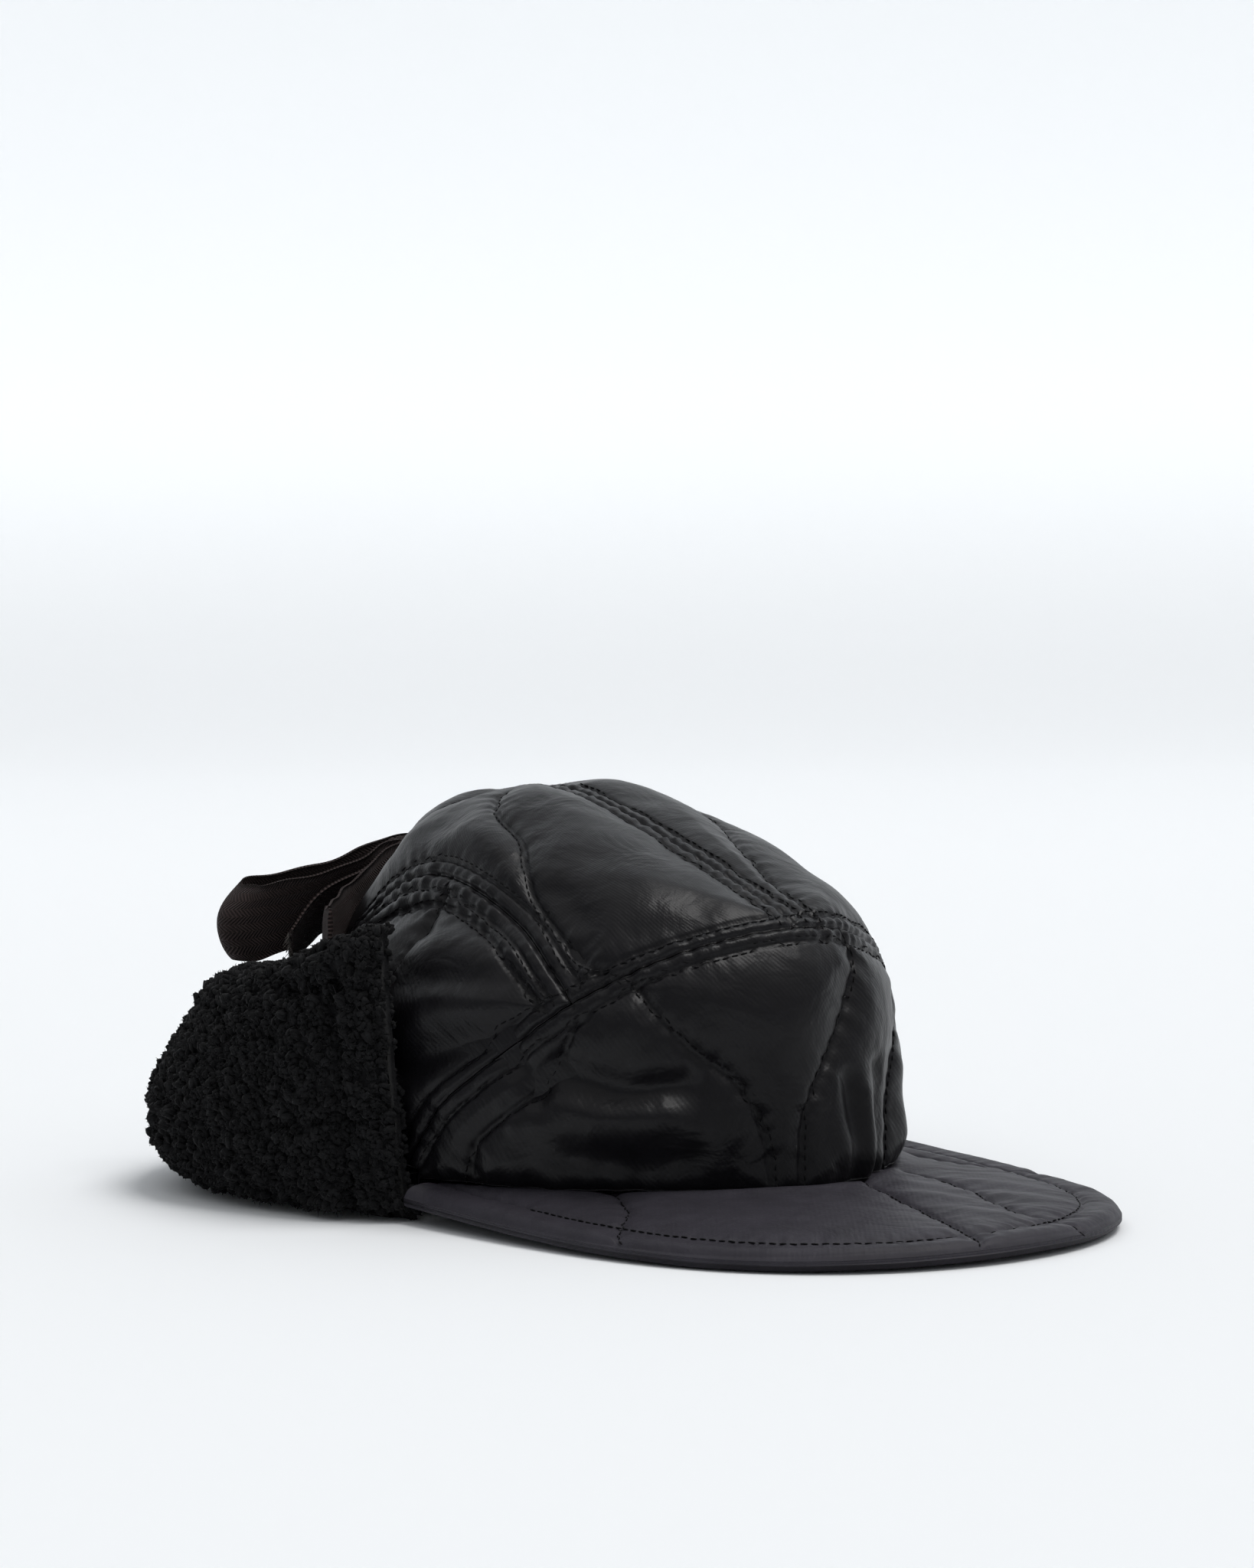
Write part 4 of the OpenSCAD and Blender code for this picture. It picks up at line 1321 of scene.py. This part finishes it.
class CAP_OT_tapes(bpy.types.Operator):
    """Builds the two tie tapes and the bow's knot"""

    bl_idname = "cap.tapes"
    bl_label = "Tie tapes"

    def execute(self, context):
        tape = sizes()[3]
        for side, sign in SIDES:
            body = "ear_" + side + "_flap"
            obj, path, run = ribbon("tie_tape_" + side + "_cloth", TAPE_ROUTE, tape.width,
                                    tape.thick, sign)
            cotton = materials()["herringbone_cotton"]
            knot = finish_piece(knot_half("bow_knot_" + side + "_cloth", sign), body, cotton,
                                ["bow_knot_" + side])
            fray = finish_piece(frayed_end("frayed_end_" + side, sign), body,
                                materials()["pale_cotton_yarn"])
            finish_piece(obj, body, cotton, ["tie_tape_" + side])
            # Each piece takes its own copy of its mesh
            for piece in (obj, knot, fray):
                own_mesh(piece)
        return {"FINISHED"}


# ---------------------------------------------------------------- stitches

def stitch_tree():
    """Short stitches laid end to end along lines."""
    tree, ids, given = node_group("sew_lines", [
        ("Geometry", "Geometry", None), ("Pitch", "Float", 0.003), ("Length", "Float", 0.0023),
        ("Thickness", "Float", 0.0006), ("Material", "Material", None)])
    if given is None:
        return tree, ids
    curve = add_node(tree, "GeometryNodeMeshToCurve", [("Mesh", given["Geometry"])])
    points = add_node(tree, "GeometryNodeCurveToPoints",
                      [("Curve", curve.outputs[0]), ("Length", given["Pitch"])], mode="LENGTH")
    bead = add_node(tree, "GeometryNodeMeshIcoSphere", in_Radius=0.5, in_Subdivisions=1)
    size = add_node(tree, "ShaderNodeCombineXYZ", [("X", given["Length"]),
                                                   ("Y", given["Thickness"]),
                                                   ("Z", given["Thickness"])])
    aligned = add_node(tree, "FunctionNodeAlignRotationToVector",
                       [("Vector", points.outputs["Tangent"])], axis="X")
    held = add_node(tree, "GeometryNodeInstanceOnPoints",
                    [("Points", points.outputs["Points"]), ("Instance", bead.outputs["Mesh"]),
                     ("Rotation", aligned.outputs[0]), ("Scale", size.outputs[0])])
    end_tree(tree, held.outputs[0], given["Material"])
    return tree, ids


# How far a stitch stands off its cloth
STITCH_LIFT = 0.12


def sew(name, lines, body):
    """Stitches along several lines of points in millimetres, as one piece."""
    verts = np.vstack(lines) * MM
    edges = []
    start = 0
    for line in lines:
        edges += [(start + i, start + i + 1) for i in range(len(line) - 1)]
        start += len(line)
    mesh = bpy.data.meshes.new(name)
    mesh.from_pydata(verts.tolist(), edges, [])
    thread = materials()["polyester_thread"]
    tree, ids = stitch_tree()
    piece = run_tree(linked_object(name, mesh), name, tree, ids, {
        "Pitch": 0.0029, "Length": 0.0024, "Thickness": 0.0005, "Material": thread})
    return finish_piece(piece, body, thread)


def snapped(lines, cloths):
    """Lines moved onto the nearest cloth face, lifted a little along its normal."""
    graph = bpy.context.evaluated_depsgraph_get()
    trees = [BVHTree.FromObject(c, graph) for c in cloths]
    result = []
    for line in lines:
        moved = []
        for p in line:
            point = Vector(p) * MM
            best = None
            for tree in trees:
                hit = tree.find_nearest(point, 0.012)
                if hit[0] is not None and (best is None or hit[3] < best[3]):
                    best = hit
            if best is not None:
                moved.append((best[0] + best[1] * STITCH_LIFT * MM) / MM)
        if len(moved) > 1:
            result.append(np.array(moved))
    return result


def beside(line, distance):
    """A line of [turn, level] points on the crown, moved sideways over its face."""
    p = crown_point(line[:, 0], line[:, 1])
    n = crown_normal(line[:, 0], line[:, 1])
    step = np.gradient(p, axis=0)
    sideways = np.cross(step, n)
    sideways /= np.linalg.norm(sideways, axis=1, keepdims=True)
    return p + sideways * distance


class CAP_OT_stitches(bpy.types.Operator):
    """Sews the seams, quilting and brim lines"""

    bl_idname = "cap.stitches"
    bl_label = "Stitches"

    def execute(self, context):
        band = sizes()[0].band
        turns = np.linspace(-WRAP_END + 2, WRAP_END - 2, 150)
        wrap = np.c_[turns, wrap_seam(turns)]
        ahead = np.linspace(WRAP_TOP + 0.1, TOP_S - 0.15, 60)
        behind = np.linspace(TOP_S - 0.15, 0.2, 80)
        lines = [beside(wrap, band), beside(wrap, -band)]
        for sign in (1, -1):
            for column, s in ((0.0, ahead), (180.0, behind)):
                lines.append(beside(np.c_[np.full(len(s), column), s], sign * band))
            arc = np.linspace(ARC_MEET + 2, ARC_MIDDLE + ARC_HALF - 3, 110)
            path = np.c_[sign * arc, np.maximum(0.05, arc_seam(arc))]
            lines += [beside(path, band), beside(path, -band)]
        for rows in quilt_curves().values():
            lines += rows
        cloths = [bpy.data.objects[p + "_cloth"] for p in PANELS]
        sew("crown_stitches", snapped(lines, cloths), CROWN)
        brim = sizes()[1]
        t = np.linspace(-84, 84, 200)
        rim = rim_point(t, brim.rim)
        rows = [rim] + [curve_through(q, 40) for q in BRIM_QUILTS]
        lines = [np.c_[r[:, 0], r[:, 1] + hat_shift(), brim_height(r[:, 0], r[:, 1]) - 0.5]
                 for r in rows]
        cover = bpy.data.objects["brim_top_cover_cloth"]
        sew("brim_stitches", snapped(lines, [cover]), CROWN)
        return {"FINISHED"}


# ---------------------------------------------------------------- stage

# Camera seen from the hat's own frame: place, right and up directions, and lens
CAMERA_PLACE = (-815.5, -1036.2, 201.7)
CAMERA_RIGHT = (0.7842, -0.6204, -0.0109)
CAMERA_UP = (0.0454, 0.0399, 0.9982)
CAMERA_LENS = 100.2


def soft_light(name, place, spread, power, tint):
    """A sun lamp with a wide disc, shining from a place towards the hat."""
    data = bpy.data.lights.new(name, "SUN")
    data.angle = math.radians(spread)
    data.energy = power
    data.color = tint
    lamp = linked_object(name, data)
    lamp.rotation_euler = (-Vector(place)).to_track_quat("-Z", "Y").to_euler()


def studio_sweep():
    """Pale paper: a floor that curves up into a wall behind the hat, lit a little from behind."""
    ahead = Vector((0.619, 0.783, 0))
    beside_way = Vector((0.783, -0.619, 0))
    profile = [(-6.0, 0), (2.2, 0)]
    profile += [(2.2 + 1.5 * math.sin(a), 1.5 - 1.5 * math.cos(a))
                for a in np.linspace(0.05, math.pi / 2, 24)]
    profile += [(3.7, 8.0)]
    verts = [ahead * out + beside_way * (side * 7.0) + Vector((0, 0, up))
             for out, up in profile for side in (-1, 1)]
    faces = [(2 * k, 2 * k + 1, 2 * k + 3, 2 * k + 2) for k in range(len(profile) - 1)]
    mesh = bpy.data.meshes.new("studio_sweep")
    mesh.from_pydata(verts, [], faces)
    mesh.polygons.foreach_set("use_smooth", [True] * len(mesh.polygons))
    paper, tree, bsdf = new_material("matt_paper", tuple(sizes()[4].floor), 0.95,
                                     Specular_IOR_Level=0.05)
    parts = add_node(tree, "ShaderNodeSeparateXYZ", [("Vector", object_coords(tree))])
    glow = add_node(tree, "ShaderNodeMapRange", [("Value", parts.outputs["Z"])], in_From_Max=0.35,
                    in_To_Max=0.31)
    glow.interpolation_type = "SMOOTHSTEP"
    tree.links.new(glow.outputs["Result"], bsdf.inputs["Emission Strength"])
    bsdf.inputs["Emission Color"].default_value = (0.93, 0.97, 1.0, 1)
    mesh.materials.append(paper)
    return linked_object("studio_sweep", mesh)


class CAP_OT_stage(bpy.types.Operator):
    """Sets the camera, the pale sweep and the soft lights"""

    bl_idname = "cap.stage"
    bl_label = "Stage"

    def execute(self, context):
        scene = context.scene
        right, up = Vector(CAMERA_RIGHT).normalized(), Vector(CAMERA_UP)
        back = right.cross(up).normalized()
        up = back.cross(right)
        place = Vector(CAMERA_PLACE) + Vector((0, hat_shift(), 0))
        data = bpy.data.cameras.new("camera")
        data.lens = CAMERA_LENS
        data.clip_start, data.clip_end = 0.05, 30
        camera = linked_object("camera", data)
        axes = Matrix((right, up, back)).transposed().to_4x4()
        camera.matrix_world = Matrix.Translation(place * MM) @ axes
        scene.camera = camera

        studio_sweep()
        world = bpy.data.worlds.new("studio")
        world.use_nodes = True
        shade = world.node_tree.nodes["Background"]
        shade.inputs["Color"].default_value = (0.93, 0.965, 1.0, 1)
        shade.inputs["Strength"].default_value = 0.32
        scene.world = world
        soft_light("overhead_softbox", (0.30, -0.10, 1.6), 120, 0.72, (1, 0.985, 0.965))
        soft_light("key_softbox", (0.46, -0.36, 1.6), 32, 1.5, (1, 0.99, 0.98))
        scene.view_settings.view_transform = "Standard"
        return {"FINISHED"}


# ---------------------------------------------------------------- add-on

OPERATORS = (CAP_OT_stage, CAP_OT_tapes, CAP_OT_crown, CAP_OT_lining, CAP_OT_brim, CAP_OT_flap,
             CAP_OT_stitches)
GROUPS = {"cap_crown": CapCrownSizes, "cap_brim": CapBrimSizes, "cap_flap": CapFlapSizes,
          "cap_tape": CapTapeSizes, "cap_colours": CapColours}


class CAP_PT_panel(bpy.types.Panel):
    """Lists the cap's pieces in the sidebar"""

    bl_label = "Quilted flap cap"
    bl_idname = "CAP_PT_panel"
    bl_space_type = "VIEW_3D"
    bl_region_type = "UI"
    bl_category = "Cap"

    def draw(self, context):
        for operator in OPERATORS:
            self.layout.operator(operator.bl_idname)
        for group in GROUPS:
            box = self.layout.box()
            settings = getattr(context.scene, group)
            for key in settings.__annotations__:
                box.prop(settings, key)


def register():
    """Registers the classes and the scene's settings."""
    for cls in (*GROUPS.values(), *OPERATORS, CAP_PT_panel):
        bpy.utils.register_class(cls)
    for name, group in GROUPS.items():
        setattr(bpy.types.Scene, name, PointerProperty(type=group))


def unregister():
    """Takes the classes and settings away again."""
    for name in GROUPS:
        delattr(bpy.types.Scene, name)
    for cls in reversed((*GROUPS.values(), *OPERATORS, CAP_PT_panel)):
        bpy.utils.unregister_class(cls)


def main():
    """Registers the add-on and builds the cap around its frame."""
    register()
    for operator in OPERATORS:
        group, name = operator.bl_idname.split(".")
        getattr(getattr(bpy.ops, group), name)()


if __name__ == "__main__":
    main()
